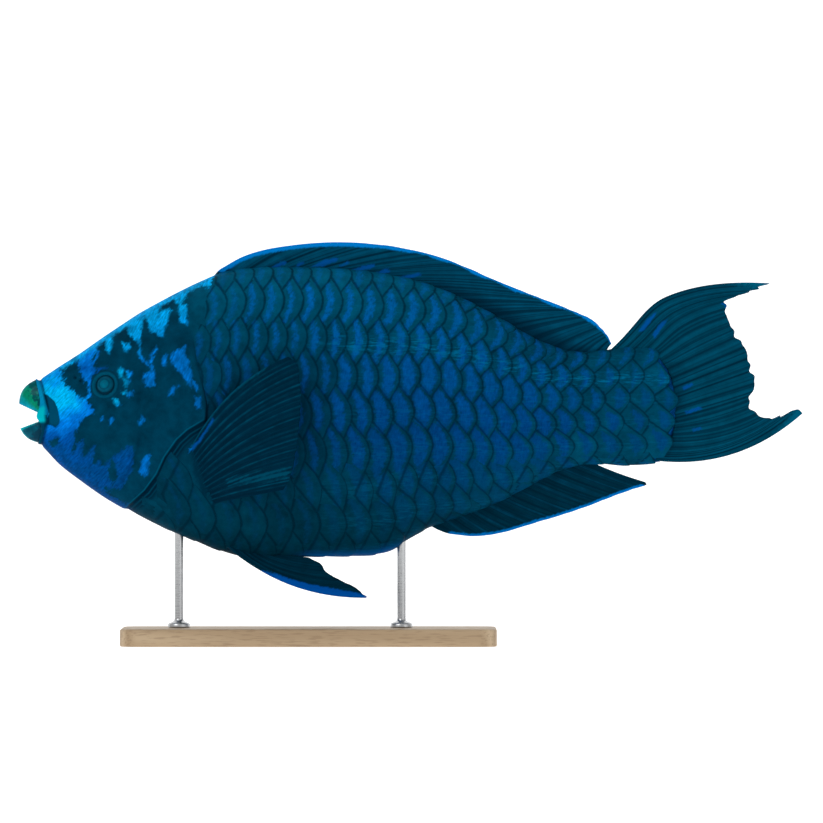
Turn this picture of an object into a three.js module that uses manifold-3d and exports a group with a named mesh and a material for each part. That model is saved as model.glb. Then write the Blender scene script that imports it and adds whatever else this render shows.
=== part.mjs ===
// A midnight parrotfish at life size, as a still museum model on a two-rod display stand.
//
// Millimetres, +Z up. The fish faces -X and shows its left side to -Y. The origin is the
// centre of the stand's underside. Along the fish, "along" is the distance behind the tip of
// the beak and "high" is the height above the body's axis, the level of the beak and tail.
import * as THREE from "three";
import { mergeVertices } from "three/addons/utils/BufferGeometryUtils.js";
import Module from "manifold-3d";

const wasm = await Module();
wasm.setup();
const { Manifold, Mesh } = wasm;

// Driving sizes. The outlines below are those of a fish 627 mm long, beak to lobe tip. BALANCE is
// the distance along it that stands over the middle of the base. GAP parts two meshes that touch.
const AXIS_HEIGHT = 187;
const BALANCE = 232;
const GAP = 0.3;

// Outlines of the body in side view, without its fins, as [along, high].
const BACK = [
  [12, 22.5], [20, 27.8], [32.8, 36.4], [48.8, 46.6], [64.8, 57.8], [80.8, 68.6],
  [96.8, 79], [112.8, 87.9], [128.8, 96.4], [144.8, 104.4], [162.4, 111.8], [184.8, 115],
  [216.8, 115.6], [256.8, 114.4], [288.8, 111], [320.8, 104], [352.8, 91.6], [384.8, 74.8],
  [416.8, 56.8], [444.8, 48.4], [468.8, 49.6], [486.8, 52.6], [506.8, 51.6], [534.8, 43],
];
const BELLY = [
  [12, -21.5], [20, -29.2], [32.8, -42.6], [48.8, -54.8], [64.8, -65.8], [80.8, -75],
  [112.8, -91.6], [144.8, -105.4], [164.8, -112.8], [184.8, -116.4], [232.8, -116.4],
  [264.8, -116], [284.8, -114.6], [298, -111], [312, -102], [328.8, -92.6], [352.8, -84],
  [379.2, -74.4], [403.2, -62.4], [424.8, -51], [444.8, -43.8], [464.8, -42.4],
  [484.8, -43.4], [506.8, -41.8], [534.8, -37],
];
// Half the body's width seen from above, as [along, half width].
const FLANK = [
  [12, 10.5], [20, 15.5], [32.8, 21.5], [48.8, 27], [68.8, 33], [96.8, 40], [128.8, 45.5],
  [164.8, 49], [208.8, 50], [256.8, 48.5], [304.8, 43], [352.8, 35.5], [400.8, 27],
  [444.8, 19.5], [484.8, 13], [512.8, 8.5], [534.8, 5],
];
const WIDEST_SHARE = 0.48;
const BACK_TAPER = 1.12;
const BELLY_TAPER = 0.94;

// The large scales: a staggered lattice of columns along the body and rows round it.
const SCALE_START = 76;
const SCALE_PITCH = 16.8;
const SCALE_COLUMNS = 27;
const SCALE_ROWS = 18;
const SCALE_LIFT = 1.1;
const SCALE_CROWN = 0.9;
const SCALE_STEP = 0.08;

// The edge of the gill cover, from above the nape to under the throat, and where it hinges.
const GILL_EDGE = [
  [166, 126], [155.5, 101], [145, 79], [139, 59], [142.4, 39.6], [147.2, 21.2],
  [150.6, 6.8], [149.6, -6.8], [136, -14.8], [127.2, -22.8], [117.6, -36.4], [111.2, -50],
  [101.6, -62.8], [88.8, -74], [72, -90],
];
const GILL_HINGE = [
  [122, 56], [110, 47.6], [104.5, 29.2], [102, 9.2], [99.2, -10.8], [95.2, -30.8],
  [87.8, -48.4], [78.8, -62.8],
];
const COVER_PROUD = 2.2;
const COVER_DEEP = 1.8;

const STALK_FRONT = 471;
const STALK_END = { along: 464, high: 3.5, radius: 66 };

const EYE = { along: 69.6, high: 21.2, radius: 11.2, proud: 3.1, rim: 9.6, rimThick: 1.7 };
const NOSTRILS = [[49.6, 24.6], [45.4, 27]];
const NOSTRIL_RADIUS = 1.2;
const MOUTH_CORNER = [15.5, -5.2];

// Small helpers.
const clamp01 = (t) => Math.min(1, Math.max(0, t));
const lerp = (a, b, t) => a + (b - a) * t;

// A smooth curve y(x) through a list of points.
function through(points) {
  const slope = (i) => {
    const a = points[Math.max(0, i - 1)];
    const b = points[Math.min(points.length - 1, i + 1)];
    return (b[1] - a[1]) / (b[0] - a[0]);
  };
  return (x) => {
    let i = points.findIndex((p) => p[0] > x) - 1;
    if (i === -2) i = points.length - 2;
    i = Math.max(0, i);
    const [x0, y0] = points[i];
    const [x1, y1] = points[i + 1];
    const h = x1 - x0;
    const t = (x - x0) / h;
    const m0 = slope(i) * h;
    const m1 = slope(i + 1) * h;
    const t2 = t * t;
    const t3 = t2 * t;
    return (
      (2 * t3 - 3 * t2 + 1) * y0 + (t3 - 2 * t2 + t) * m0 + (3 * t2 - 2 * t3) * y1 + (t3 - t2) * m1
    );
  };
}
const backLine = through(BACK);
const bellyLine = through(BELLY);
const flankLine = through(FLANK);

// A point of the fish in the part's frame.
const at = (along, side, high) => new THREE.Vector3(along - BALANCE, side, high + AXIS_HEIGHT);

// The body's cross-section: turn 0 is the back, half a turn the belly, and the left flank between.
function section(along, turn, lift = 0) {
  const top = backLine(along) + lift;
  const bottom = bellyLine(along) - lift;
  const middle = lerp(bottom, top, WIDEST_SHARE);
  const c = Math.cos(turn);
  const s = Math.sin(turn);
  const taper = c > 0 ? BACK_TAPER : BELLY_TAPER;
  const side = -Math.sign(s) * (flankLine(along) + lift) * Math.abs(s) ** taper;
  const high = middle + c * (c > 0 ? top - middle : middle - bottom);
  return at(along, side, high);
}

// Half the body's width at one height.
function widthAt(along, high, lift = 0) {
  const top = backLine(along) + lift;
  const bottom = bellyLine(along) - lift;
  const middle = lerp(bottom, top, WIDEST_SHARE);
  const c = (high - middle) / (high > middle ? top - middle : middle - bottom);
  const taper = c > 0 ? BACK_TAPER : BELLY_TAPER;
  return (flankLine(along) + lift) * Math.sqrt(Math.max(0, 1 - c * c)) ** taper;
}

// The height of the belly's skin at one distance from the middle.
function bellyAt(along, side) {
  const [top, bottom] = [backLine(along), bellyLine(along)];
  const middle = lerp(bottom, top, WIDEST_SHARE);
  const s = (side / flankLine(along)) ** (1 / BELLY_TAPER);
  return middle - Math.sqrt(1 - s * s) * (middle - bottom);
}

// The turn that lies at each row of scales: the rows are evenly spaced over the skin.
const TURN_STEPS = 48;
function turnOfRow(along, row) {
  const perSide = SCALE_ROWS / 2;
  const wrapped = ((row % SCALE_ROWS) + SCALE_ROWS) % SCALE_ROWS;
  const mirrored = wrapped > perSide;
  const share = (mirrored ? SCALE_ROWS - wrapped : wrapped) / perSide;
  const run = [0];
  let last = section(along, 0);
  for (let k = 1; k <= TURN_STEPS; k++) {
    const next = section(along, (Math.PI * k) / TURN_STEPS);
    run.push(run[k - 1] + next.distanceTo(last));
    last = next;
  }
  const goal = share * run[TURN_STEPS];
  let k = 1;
  while (k < TURN_STEPS && run[k] < goal) k++;
  const turn = (Math.PI * (k - 1 + (goal - run[k - 1]) / (run[k] - run[k - 1]))) / TURN_STEPS;
  return mirrored ? -turn : turn;
}

// Solids: closed meshes joined and cut.
function solid(geometry) {
  const bare = geometry.index ? geometry.toNonIndexed() : geometry.clone();
  bare.deleteAttribute("normal");
  bare.deleteAttribute("uv");
  const merged = mergeVertices(bare, 1e-4);
  return new Manifold(
    new Mesh({
      numProp: 3,
      vertProperties: new Float32Array(merged.attributes.position.array),
      triVerts: new Uint32Array(merged.index.array),
    }),
  );
}
function surface(points, triangles) {
  const geometry = new THREE.BufferGeometry();
  const flat = points.flatMap((p) => [p.x, p.y, p.z]);
  geometry.setAttribute("position", new THREE.Float32BufferAttribute(flat, 3));
  geometry.setIndex(triangles.flat());
  return geometry;
}
const largest = (s) => s.decompose().reduce((a, b) => (a.volume() > b.volume() ? a : b));

// A side-view outline carried across the fish, from one side distance to another.
function prism(outline, from = -90, to = 90) {
  const shape = new THREE.Shape(outline.map(([along, high]) => new THREE.Vector2(along, high)));
  const geometry = new THREE.ExtrudeGeometry(shape, { depth: to - from, bevelEnabled: false });
  geometry.rotateX(Math.PI / 2);
  geometry.translate(-BALANCE, to, AXIS_HEIGHT);
  return solid(geometry);
}
// The same points with a smooth curve run through them.
function smooth(outline, count) {
  const curve = new THREE.SplineCurve(outline.map(([x, y]) => new THREE.Vector2(x, y)));
  return curve.getPoints(count).map((p) => [p.x, p.y]);
}

// The smooth body between two stations, closed at both ends.
function smoothBody(from, to, rings, sectors, lift = 0) {
  const points = [];
  const triangles = [];
  for (let i = 0; i <= rings; i++) {
    const along = lerp(from, to, i / rings);
    for (let j = 0; j < sectors; j++) {
      points.push(section(along, (2 * Math.PI * j) / sectors, lift));
    }
  }
  const index = (i, j) => i * sectors + (j % sectors);
  for (let i = 0; i < rings; i++) {
    for (let j = 0; j < sectors; j++) {
      triangles.push([index(i, j), index(i, j + 1), index(i + 1, j + 1)]);
      triangles.push([index(i, j), index(i + 1, j + 1), index(i + 1, j)]);
    }
  }
  for (let j = 1; j < sectors - 1; j++) {
    triangles.push([index(0, 0), index(0, j + 1), index(0, j)]);
    triangles.push([index(rings, 0), index(rings, j), index(rings, j + 1)]);
  }
  return solid(surface(points, triangles));
}

// The body behind the gills, its skin raised into staggered scales. Each scale is a tall diamond
// that climbs from its sunk front corner over its crown to its raised rear corner, where a step
// falls to the scales behind.
function scaledBody(lift = 0) {
  const points = [];
  const triangles = [];
  const known = new Map();
  const place = (key, column, row, height) => {
    const name = key + ":" + (((row % SCALE_ROWS) + SCALE_ROWS) % SCALE_ROWS);
    if (!known.has(name)) {
      const along = SCALE_START + column * SCALE_PITCH;
      known.set(name, points.length);
      points.push(section(along, turnOfRow(along, row), lift + height));
    }
    return known.get(name);
  };
  const centre = (i, j) => i + (j % 2 ? 0.5 : 0);
  const high = (i, j) => place("tip" + i, centre(i, j) + 0.5, j, SCALE_LIFT);
  const low = (i, j) => place("foot" + i, centre(i, j) + 0.5 + SCALE_STEP, j, 0);
  for (let j = 0; j < SCALE_ROWS; j++) {
    const last = j % 2 ? SCALE_COLUMNS - 1 : SCALE_COLUMNS;
    for (let i = 0; i <= last; i++) {
      const beside = j % 2 ? i : i - 1;
      const ring = [low(i - 1, j), low(beside, j - 1), high(i, j), low(beside, j + 1)];
      const crown = place("crown" + i, centre(i, j) + 0.12, j, SCALE_CROWN);
      ring.forEach((p, k) => triangles.push([crown, ring[(k + 1) % ring.length], p]));
      if (i === last && last === SCALE_COLUMNS) continue;
      triangles.push([low(beside, j - 1), high(i, j), low(i, j)]);
      triangles.push([low(beside, j + 1), low(i, j), high(i, j)]);
    }
  }
  // The two ends close on a point at the middle of each end.
  const front = points.push(at(SCALE_START - 4, 0, 0)) - 1;
  const rear = points.push(at(SCALE_START + (SCALE_COLUMNS + 0.5) * SCALE_PITCH, 0, 4)) - 1;
  for (let j = 0; j < SCALE_ROWS; j += 2) {
    const mouth = [low(-1, j - 1), low(-1, j), low(-1, j + 1)];
    const last = SCALE_COLUMNS;
    const tail = [low(last - 1, j - 1), high(last, j), low(last - 1, j + 1)];
    for (let k = 0; k < 2; k++) {
      triangles.push([front, mouth[k + 1], mouth[k]]);
      triangles.push([rear, tail[k], tail[k + 1]]);
    }
  }
  return solid(surface(points, triangles));
}

// Head.
const HEAD_FRONT = 12;
const HEAD_REAR = 170;
const gillEdge = smooth(GILL_EDGE, 28);
const gillHinge = smooth(GILL_HINGE, 10);
const inFrontOf = (line, step) => line.map(([along, high]) => [along - step, high]);
const headRegion = prism([[-20, 150], ...gillEdge, [-20, -120]]);
const trunkRegion = prism([
  ...inFrontOf(gillEdge, -GAP), [gillEdge[gillEdge.length - 1][0], -130],
  [STALK_FRONT - GAP, -130], [STALK_FRONT - GAP, 150],
]);
const coverOutline = [...gillHinge, ...gillEdge.filter(([, z]) => z < 58 && z > -74).reverse()];

function sphere(centre, radius, detail) {
  const geometry = new THREE.SphereGeometry(radius, detail, Math.round(detail * 0.6));
  geometry.rotateX(Math.PI / 2);
  geometry.translate(centre.x, centre.y, centre.z);
  return solid(geometry);
}
// The outward direction of the skin beside one point.
function outward(along, high, way) {
  const step = 2;
  const y = (dx, dz) => way * widthAt(along + dx, high + dz);
  const ax = new THREE.Vector3(2 * step, y(step, 0) - y(-step, 0), 0);
  const az = new THREE.Vector3(0, y(0, step) - y(0, -step), 2 * step);
  const normal = new THREE.Vector3().crossVectors(az, ax).normalize();
  return normal.y * way < 0 ? normal.negate() : normal;
}
function onSkin(along, high, way, lift = 0) {
  const point = at(along, way * widthAt(along, high), high);
  return point.addScaledVector(outward(along, high, way), lift);
}

function eyeCentre(way) {
  return onSkin(EYE.along, EYE.high, way, EYE.proud - EYE.radius);
}
// The raised ring of skin round the eye.
function eyeRim(way) {
  const geometry = new THREE.TorusGeometry(EYE.rim, EYE.rimThick, 6, 22);
  const turn = new THREE.Quaternion().setFromUnitVectors(
    new THREE.Vector3(0, 0, 1),
    outward(EYE.along, EYE.high, way),
  );
  const centre = onSkin(EYE.along, EYE.high, way, 0.1);
  geometry.applyQuaternion(turn);
  geometry.translate(centre.x, centre.y, centre.z);
  return solid(geometry);
}
function nostril([along, high], way) {
  const geometry = new THREE.CylinderGeometry(NOSTRIL_RADIUS, NOSTRIL_RADIUS, 6, 10);
  const turn = new THREE.Quaternion().setFromUnitVectors(
    new THREE.Vector3(0, 1, 0),
    outward(along, high, way),
  );
  const centre = onSkin(along, high, way, 0.2);
  geometry.applyQuaternion(turn);
  geometry.translate(centre.x, centre.y, centre.z);
  return solid(geometry);
}

// The jaws. Each beak plate springs from a gum line that runs round the front of the jaw from
// one mouth corner to the other, and ends in a narrower cutting edge.
const UPPER_JAW = {
  gum: [14.6, 26], gumCorner: [21, -2.6], gumHalf: 11.2,
  belly: [0, 20.4], bellyCorner: [15, 3.5],
  edge: [0.1, 6.1], edgeCorner: [16.4, -1.6], edgeHalf: 8.4,
};
const LOWER_JAW = {
  gum: [15.6, -25], gumCorner: [21, -7.8], gumHalf: 10.4,
  belly: [4.6, -22.6], bellyCorner: [16, -12],
  edge: [1, -13.4], edgeCorner: [16.8, -7.4], edgeHalf: 7.2,
};
const BEAK_THICK = 3.4;
const LIP_THICK = 2.3;

// A point of a jaw: round runs from -1 to 1 between the mouth corners, down from gum to edge.
function jawPoint(jaw, round, down, side = 1) {
  const angle = (round * Math.PI) / 2;
  const back = 1 - Math.cos(angle);
  const mix = (a, b) => [lerp(a[0], b[0], back), lerp(a[1], b[1], back)];
  const [g, m, e] = [
    mix(jaw.gum, jaw.gumCorner),
    mix(jaw.belly, jaw.bellyCorner),
    mix(jaw.edge, jaw.edgeCorner),
  ];
  const bend = (a, b, c) => (1 - down) ** 2 * a + 2 * down * (1 - down) * b + down ** 2 * c;
  const half = lerp(jaw.gumHalf, jaw.edgeHalf, down);
  return at(
    bend(g[0], m[0], e[0]),
    side * half * Math.sin(angle),
    bend(g[1], m[1], e[1]),
  );
}
// A closed shell between two grids of points with the same layout.
function shell(outer, inner) {
  const rows = outer.length;
  const columns = outer[0].length;
  const points = [...outer.flat(), ...inner.flat()];
  const o = (i, j) => i * columns + j;
  const n = (i, j) => rows * columns + o(i, j);
  const triangles = [];
  const quad = (a, b, c, d) => triangles.push([a, b, c], [a, c, d]);
  for (let i = 0; i < rows - 1; i++) {
    for (let j = 0; j < columns - 1; j++) {
      quad(o(i, j), o(i + 1, j), o(i + 1, j + 1), o(i, j + 1));
      triangles.push(
        [n(i, j), n(i + 1, j + 1), n(i + 1, j)],
        [n(i, j), n(i, j + 1), n(i + 1, j + 1)],
      );
    }
    quad(o(i + 1, 0), o(i, 0), n(i, 0), n(i + 1, 0));
    quad(o(i, columns - 1), o(i + 1, columns - 1), n(i + 1, columns - 1), n(i, columns - 1));
  }
  for (let j = 0; j < columns - 1; j++) {
    quad(o(0, j), o(0, j + 1), n(0, j + 1), n(0, j));
    quad(o(rows - 1, j + 1), o(rows - 1, j), n(rows - 1, j), n(rows - 1, j + 1));
  }
  return surface(points, triangles);
}
function beak(jaw, way) {
  const ROUND = 16;
  const DOWN = 5;
  const heart = at(24, 0, MOUTH_CORNER[1] + way * 2);
  const outer = [];
  const inner = [];
  for (let i = 0; i <= ROUND; i++) {
    outer.push([]);
    inner.push([]);
    for (let j = 0; j <= DOWN; j++) {
      const round = lerp(-1, 1, i / ROUND);
      const groove = Math.abs(round) < 0.01 ? 0.5 : 0;
      const p = jawPoint(jaw, round, j / DOWN);
      const inwards = heart.clone().sub(p).normalize();
      outer[i].push(p.clone().addScaledVector(inwards, groove));
      inner[i].push(p.clone().addScaledVector(inwards, lerp(BEAK_THICK, 1.8, j / DOWN)));
    }
  }
  const made = way > 0 ? shell(outer, inner) : shell(inner, outer);
  return largest(solid(made).intersect(beforeGums(0)));
}
function lip(jaw, way) {
  const line = [];
  for (let i = 0; i <= 12; i++) {
    const p = jawPoint(jaw, lerp(-1, 1, i / 12), 0);
    line.push(p.add(new THREE.Vector3(LIP_THICK * 0.9, 0, -way * 0.6)));
  }
  const ring = new THREE.Shape().absarc(0, 0, LIP_THICK, 0, 2 * Math.PI, false);
  const path = new THREE.CatmullRomCurve3(line);
  return solid(
    new THREE.ExtrudeGeometry(ring, { steps: 14, extrudePath: path, curveSegments: 3 }),
  );
}

// All that lies in front of the two gum lines, moved back by a step.
function beforeGums(step) {
  const gums = [UPPER_JAW.gum, UPPER_JAW.gumCorner, LOWER_JAW.gumCorner, LOWER_JAW.gum];
  const line = gums.map(([along, high]) => [along + step, high]);
  const [first, last] = [line[0], line[3]];
  line.splice(2, 0, [MOUTH_CORNER[0] + step, MOUTH_CORNER[1]]);
  return prism([
    [-20, 60], [first[0] - 1, 60], [first[0], first[1] + 2], ...line.slice(1, 4),
    [last[0], last[1] - 2], [last[0] - 1, -60], [-20, -60],
  ]);
}
const mouthCavity = (() => {
  const geometry = new THREE.SphereGeometry(1, 14, 10);
  geometry.scale(17, 7.5, 9.5);
  const centre = at(MOUTH_CORNER[0] + 2, 0, MOUTH_CORNER[1]);
  geometry.translate(centre.x, centre.y, centre.z);
  return solid(geometry);
})();

function makeHead() {
  let head = smoothBody(HEAD_FRONT, HEAD_REAR, 16, 30).intersect(headRegion);
  head = head.add(lip(UPPER_JAW, 1)).add(lip(LOWER_JAW, -1));
  for (const way of [-1, 1]) head = head.add(eyeRim(way));
  head = head.subtract(beforeGums(GAP)).subtract(mouthCavity);
  for (const way of [-1, 1]) {
    head = head.subtract(sphere(eyeCentre(way), EYE.radius + GAP, 18));
    for (const spot of NOSTRILS) head = head.subtract(nostril(spot, way));
  }
  const shallow = smoothBody(60, 175, 10, 28, -COVER_DEEP - GAP);
  const block = prism(grown(coverOutline, GAP), -90, 90);
  return largest(head.subtract(block.subtract(shallow)));
}
// An outline moved outwards all round.
function grown(outline, step) {
  const middle = outline.reduce(([a, b], [x, z]) => [a + x, b + z], [0, 0]);
  const centre = middle.map((v) => v / outline.length);
  return outline.map(([x, z], i) => {
    const before = outline[(i + outline.length - 1) % outline.length];
    const after = outline[(i + 1) % outline.length];
    let nx = after[1] - before[1];
    let nz = before[0] - after[0];
    const size = Math.hypot(nx, nz);
    if (nx * (x - centre[0]) + nz * (z - centre[1]) < 0) {
      nx = -nx;
      nz = -nz;
    }
    return [x + (nx / size) * step, z + (nz / size) * step];
  });
}
function makeGillCover(way) {
  const plate = smoothBody(60, 175, 10, 28, COVER_PROUD);
  const under = smoothBody(60, 175, 10, 28, -COVER_DEEP);
  const side = way < 0 ? prism(coverOutline, -90, -4) : prism(coverOutline, 4, 90);
  return largest(plate.subtract(under).intersect(side));
}

// Fins. A fin is a sheet between a root line and a margin. Its rays stand up as ridges in its own
// surface, on both faces, with a thinner membrane between them.
function fin({ rays, steps, place, ray, membrane, root, rootReach = 0.25 }) {
  const columns = 2 * (rays - 1);
  const outer = [];
  const inner = [];
  const nudge = 0.01;
  for (let k = 0; k <= columns; k++) {
    outer.push([]);
    inner.push([]);
    for (let j = 0; j <= steps; j++) {
      const a = k / columns;
      const b = j / steps;
      const along = place(Math.min(1, a + nudge), b).sub(place(Math.max(0, a - nudge), b));
      const out = place(a, Math.min(1, b + nudge)).sub(place(a, Math.max(0, b - nudge)));
      const normal = new THREE.Vector3().crossVectors(along, out).normalize();
      const crest = k % 2 === 0 ? ray : membrane;
      const swell = root * Math.max(0, 1 - b / rootReach) ** 1.5;
      const half = (crest * lerp(1, 0.5, b) + swell) / 2;
      outer[k].push(place(a, b).addScaledVector(normal, half));
      inner[k].push(place(a, b).addScaledVector(normal, -half));
    }
  }
  return solid(shell(outer, inner));
}
// A point on a ray that runs from root to tip, bowed by a side step at its middle.
function onRay(root, tip, bow, b) {
  const swell = 4 * b * (1 - b);
  return [lerp(root[0], tip[0], b) + bow[0] * swell, lerp(root[1], tip[1], b) + bow[1] * swell];
}
// A point at a share of the way along a chain of points.
function alongChain(points) {
  const run = [0];
  for (let i = 1; i < points.length; i++) {
    const [a, b] = [points[i - 1], points[i]];
    run.push(run[i - 1] + Math.hypot(b[0] - a[0], b[1] - a[1]));
  }
  const x = through(points.map((p, i) => [run[i] / run[run.length - 1], p[0]]));
  const z = through(points.map((p, i) => [run[i] / run[run.length - 1], p[1]]));
  return (share) => [x(share), z(share)];
}
const BURIED = 3.5;

// The dorsal fin: nine spines and ten soft rays, laid back along the body.
const DORSAL_ROOT = [154, 457];
const DORSAL_TIPS = alongChain([
  [162, 114.6], [180, 124.4], [201, 130.4], [233, 134.6], [264, 135.4], [297, 132.6],
  [329, 125.8], [353, 117.6], [384.8, 103.6], [416.8, 91], [441.8, 81.2], [458.5, 73.4],
  [470, 62], [474, 54],
]);
function makeDorsal() {
  const tipShare = through([[0, 0], [0.15, 0.24], [0.48, 0.66], [0.7, 0.84], [0.86, 0.94], [1, 1]]);
  const shape = fin({
    rays: 19, steps: 5, ray: 2.3, membrane: 1.1, root: 3.2,
    place: (a, b) => {
      const root = lerp(DORSAL_ROOT[0], DORSAL_ROOT[1], a);
      const tip = DORSAL_TIPS(tipShare(a));
      const [x, z] = onRay([root, backLine(root) - BURIED], tip, [0, 1.2], b);
      return at(x, 0, z);
    },
  });
  return shape;
}

// The anal fin: three spines and nine soft rays.
const ANAL_ROOT = [327, 455];
const ANAL_TIPS = alongChain([
  [345, -98], [364, -99.8], [385, -97.4], [401, -92.8], [417, -88], [433, -83.2],
  [449, -78], [465, -72], [481, -65.8], [494, -61.4], [502, -58.6], [501, -56.4],
]);
function makeAnal() {
  const tipShare = through([[0, 0], [0.3, 0.33], [0.6, 0.66], [0.82, 0.88], [1, 1]]);
  return fin({
    rays: 12, steps: 5, ray: 2.3, membrane: 1.1, root: 3.2,
    place: (a, b) => {
      const root = lerp(ANAL_ROOT[0], ANAL_ROOT[1], a);
      const [x, z] = onRay([root, bellyLine(root) + BURIED], ANAL_TIPS(tipShare(a)), [0, -1], b);
      return at(x, 0, z);
    },
  });
}

// The tail fin: a crescent with long upper and lower lobes and a ragged edge between them.
const TAIL_ROOT = alongChain([
  [478, 52], [498, 50.5], [512, 45.5], [523, 30], [527, 8], [526, -14], [521, -30],
  [511, -38], [503, -40.5],
]);
const TAIL_EDGE = alongChain([
  [601, 102.6], [593, 98.2], [573, 91.6], [567, 87.4], [566.5, 76], [571, 67], [576, 59],
  [581, 51], [585, 38], [588.6, 28], [588, 18], [584.6, 10], [587, 3], [594, -4.4], [604, -4.4],
  [614, -1], [623, 1.8], [627, -1.4],
]);
const TAIL_SPLIT = 0.55;
const TAIL_DEPTH = 140;
function makeTail(half) {
  const upperBow = [-18, 17];
  const lowerBow = [4, -15];
  const place = (share, b) => {
    const up = clamp01(1 - share / 0.4) ** 1.5;
    const down = clamp01((share - 0.62) / 0.38) ** 1.5;
    const bow = [up * upperBow[0] + down * lowerBow[0], up * upperBow[1] + down * lowerBow[1]];
    const root = TAIL_ROOT(share);
    const inwards = [lerp(root[0], 480, 0.05), lerp(root[1], 3.5, 0.05)];
    const [x, z] = onRay(inwards, TAIL_EDGE(share), bow, b);
    return at(x, 0, z);
  };
  const parting = GAP / 2 / TAIL_DEPTH;
  const [from, to] = half === "upper" ? [0, TAIL_SPLIT - parting] : [TAIL_SPLIT + parting, 1];
  return fin({
    rays: half === "upper" ? 9 : 8, steps: 7, ray: 2.6, membrane: 1.3, root: 3.4,
    place: (a, b) => place(lerp(from, to, a), b),
  });
}

// A pectoral fin: fourteen rays that fan out behind the gill cover and stand off the flank.
const PECTORAL_ROOT = [[137.6, -31], [156, -73]];
const PECTORAL_TIPS = alongChain([
  [216, 43.6], [222.4, 39.6], [225.6, 25.2], [226.4, 9.2], [225.6, -6.8], [224, -22.8],
  [221.6, -37.2], [218.4, -50.8], [212, -62.4],
]);
function makePectoral(way) {
  const standOff = 22;
  const shape = fin({
    rays: 14, steps: 6, ray: 2.1, membrane: 1, root: 5.5, rootReach: 0.35,
    place: (a, b) => {
      const root = [0, 1].map((k) => lerp(PECTORAL_ROOT[0][k], PECTORAL_ROOT[1][k], a));
      const tip = PECTORAL_TIPS(a);
      const [x, z] = onRay(root, tip, [-6.5 * (1 - a), 8 * (1 - a)], b);
      const inside = widthAt(root[0], root[1]) - BURIED;
      const outside = widthAt(tip[0], tip[1]) + standOff;
      return at(x, way * (lerp(inside, outside, b) + 5 * Math.sin(Math.PI * b)), z);
    },
  });
  return shape;
}

// A pelvic fin: one spine and five rays, from a root on the belly beside the middle line.
const PELVIC_ROOT = { from: 163, to: 194, outer: 16, inner: 9 };
const PELVIC_BOW = [-5, -11.5];
const PELVIC_TIPS = alongChain([
  [278.6, -148.6], [268, -140.6], [254, -133.6], [247, -129.4], [241, -122], [232, -117],
]);
function makePelvic(way) {
  const { from, to, outer, inner } = PELVIC_ROOT;
  return fin({
    rays: 6, steps: 6, ray: 2.3, membrane: 1.1, root: 3.5, rootReach: 0.3,
    place: (a, b) => {
      const foot = [lerp(from, to, a), lerp(outer, inner, a)];
      const tip = PELVIC_TIPS(a);
      const root = [foot[0], bellyAt(foot[0], foot[1]) + BURIED];
      const [x, z] = onRay(root, tip, PELVIC_BOW.map((v) => v * (1 - a)), b);
      return at(x, way * lerp(foot[1], lerp(27, 11, a), b), z);
    },
  });
}

// The display stand: a plain slab and two short rods that end under the belly.
const BASE = { length: 300, width: 140, thick: 14, corner: 16, chamfer: 1.5 };
const ROD = { radius: 3.5, foot: 9, footHigh: 6 };
const ROD_PLACES = { front: 128, rear: 306 };
function makeBase() {
  const [x, y, r] = [BASE.length / 2, BASE.width / 2, BASE.corner];
  const shape = new THREE.Shape()
    .moveTo(x, y - r)
    .absarc(x - r, y - r, r, 0, Math.PI / 2)
    .absarc(r - x, y - r, r, Math.PI / 2, Math.PI)
    .absarc(r - x, r - y, r, Math.PI, 1.5 * Math.PI)
    .absarc(x - r, r - y, r, 1.5 * Math.PI, 2 * Math.PI);
  const geometry = new THREE.ExtrudeGeometry(shape, {
    depth: BASE.thick - 2 * BASE.chamfer, curveSegments: 6, bevelEnabled: true,
    bevelSegments: 1, bevelSize: BASE.chamfer, bevelThickness: BASE.chamfer,
    bevelOffset: -BASE.chamfer,
  });
  geometry.translate(0, 0, BASE.chamfer);
  return solid(geometry);
}
function makeRod(along, clear) {
  const top = bellyLine(along) + AXIS_HEIGHT + 12;
  const from = BASE.thick + GAP;
  const profile = [
    [0, from], [ROD.foot, from], [ROD.foot, from + ROD.footHigh * 0.6],
    [ROD.foot * 0.6, from + ROD.footHigh], [ROD.radius, from + ROD.footHigh], [ROD.radius, top],
    [0, top],
  ];
  const geometry = new THREE.LatheGeometry(
    profile.map(([x, z]) => new THREE.Vector2(x, z)),
    20,
  );
  geometry.rotateX(Math.PI / 2);
  geometry.translate(along - BALANCE, 0, 0);
  return largest(solid(geometry).subtract(clear));
}

// Colours: deep teal skin and scales, blue-green beak, dark fins, ash base and steel rods.
const finish = (color, roughness, metalness = 0) =>
  new THREE.MeshStandardMaterial({ color, roughness, metalness });
const SKIN = finish(0x0a4a66, 0.45);
const FINS = finish(0x06384f, 0.5);
const BEAK = finish(0x2fae9e, 0.3);
const EYES = finish(0x0d5560, 0.15);
const ASH = finish(0xb59a78, 0.6);
const STEEL = finish(0xb8bcc0, 0.3, 1);

const group = new THREE.Group();
function show(name, shape, material) {
  const mesh = shape.getMesh();
  const count = mesh.numProp;
  const geometry = new THREE.BufferGeometry();
  const corners = new Float32Array(mesh.numVert * 3);
  for (let i = 0; i < mesh.numVert; i++) {
    corners.set(mesh.vertProperties.subarray(i * count, i * count + 3), i * 3);
  }
  geometry.setAttribute("position", new THREE.BufferAttribute(corners, 3));
  geometry.setIndex(new THREE.BufferAttribute(mesh.triVerts, 1));
  const made = new THREE.Mesh(geometry, material);
  made.name = name;
  group.add(made);
}

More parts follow.
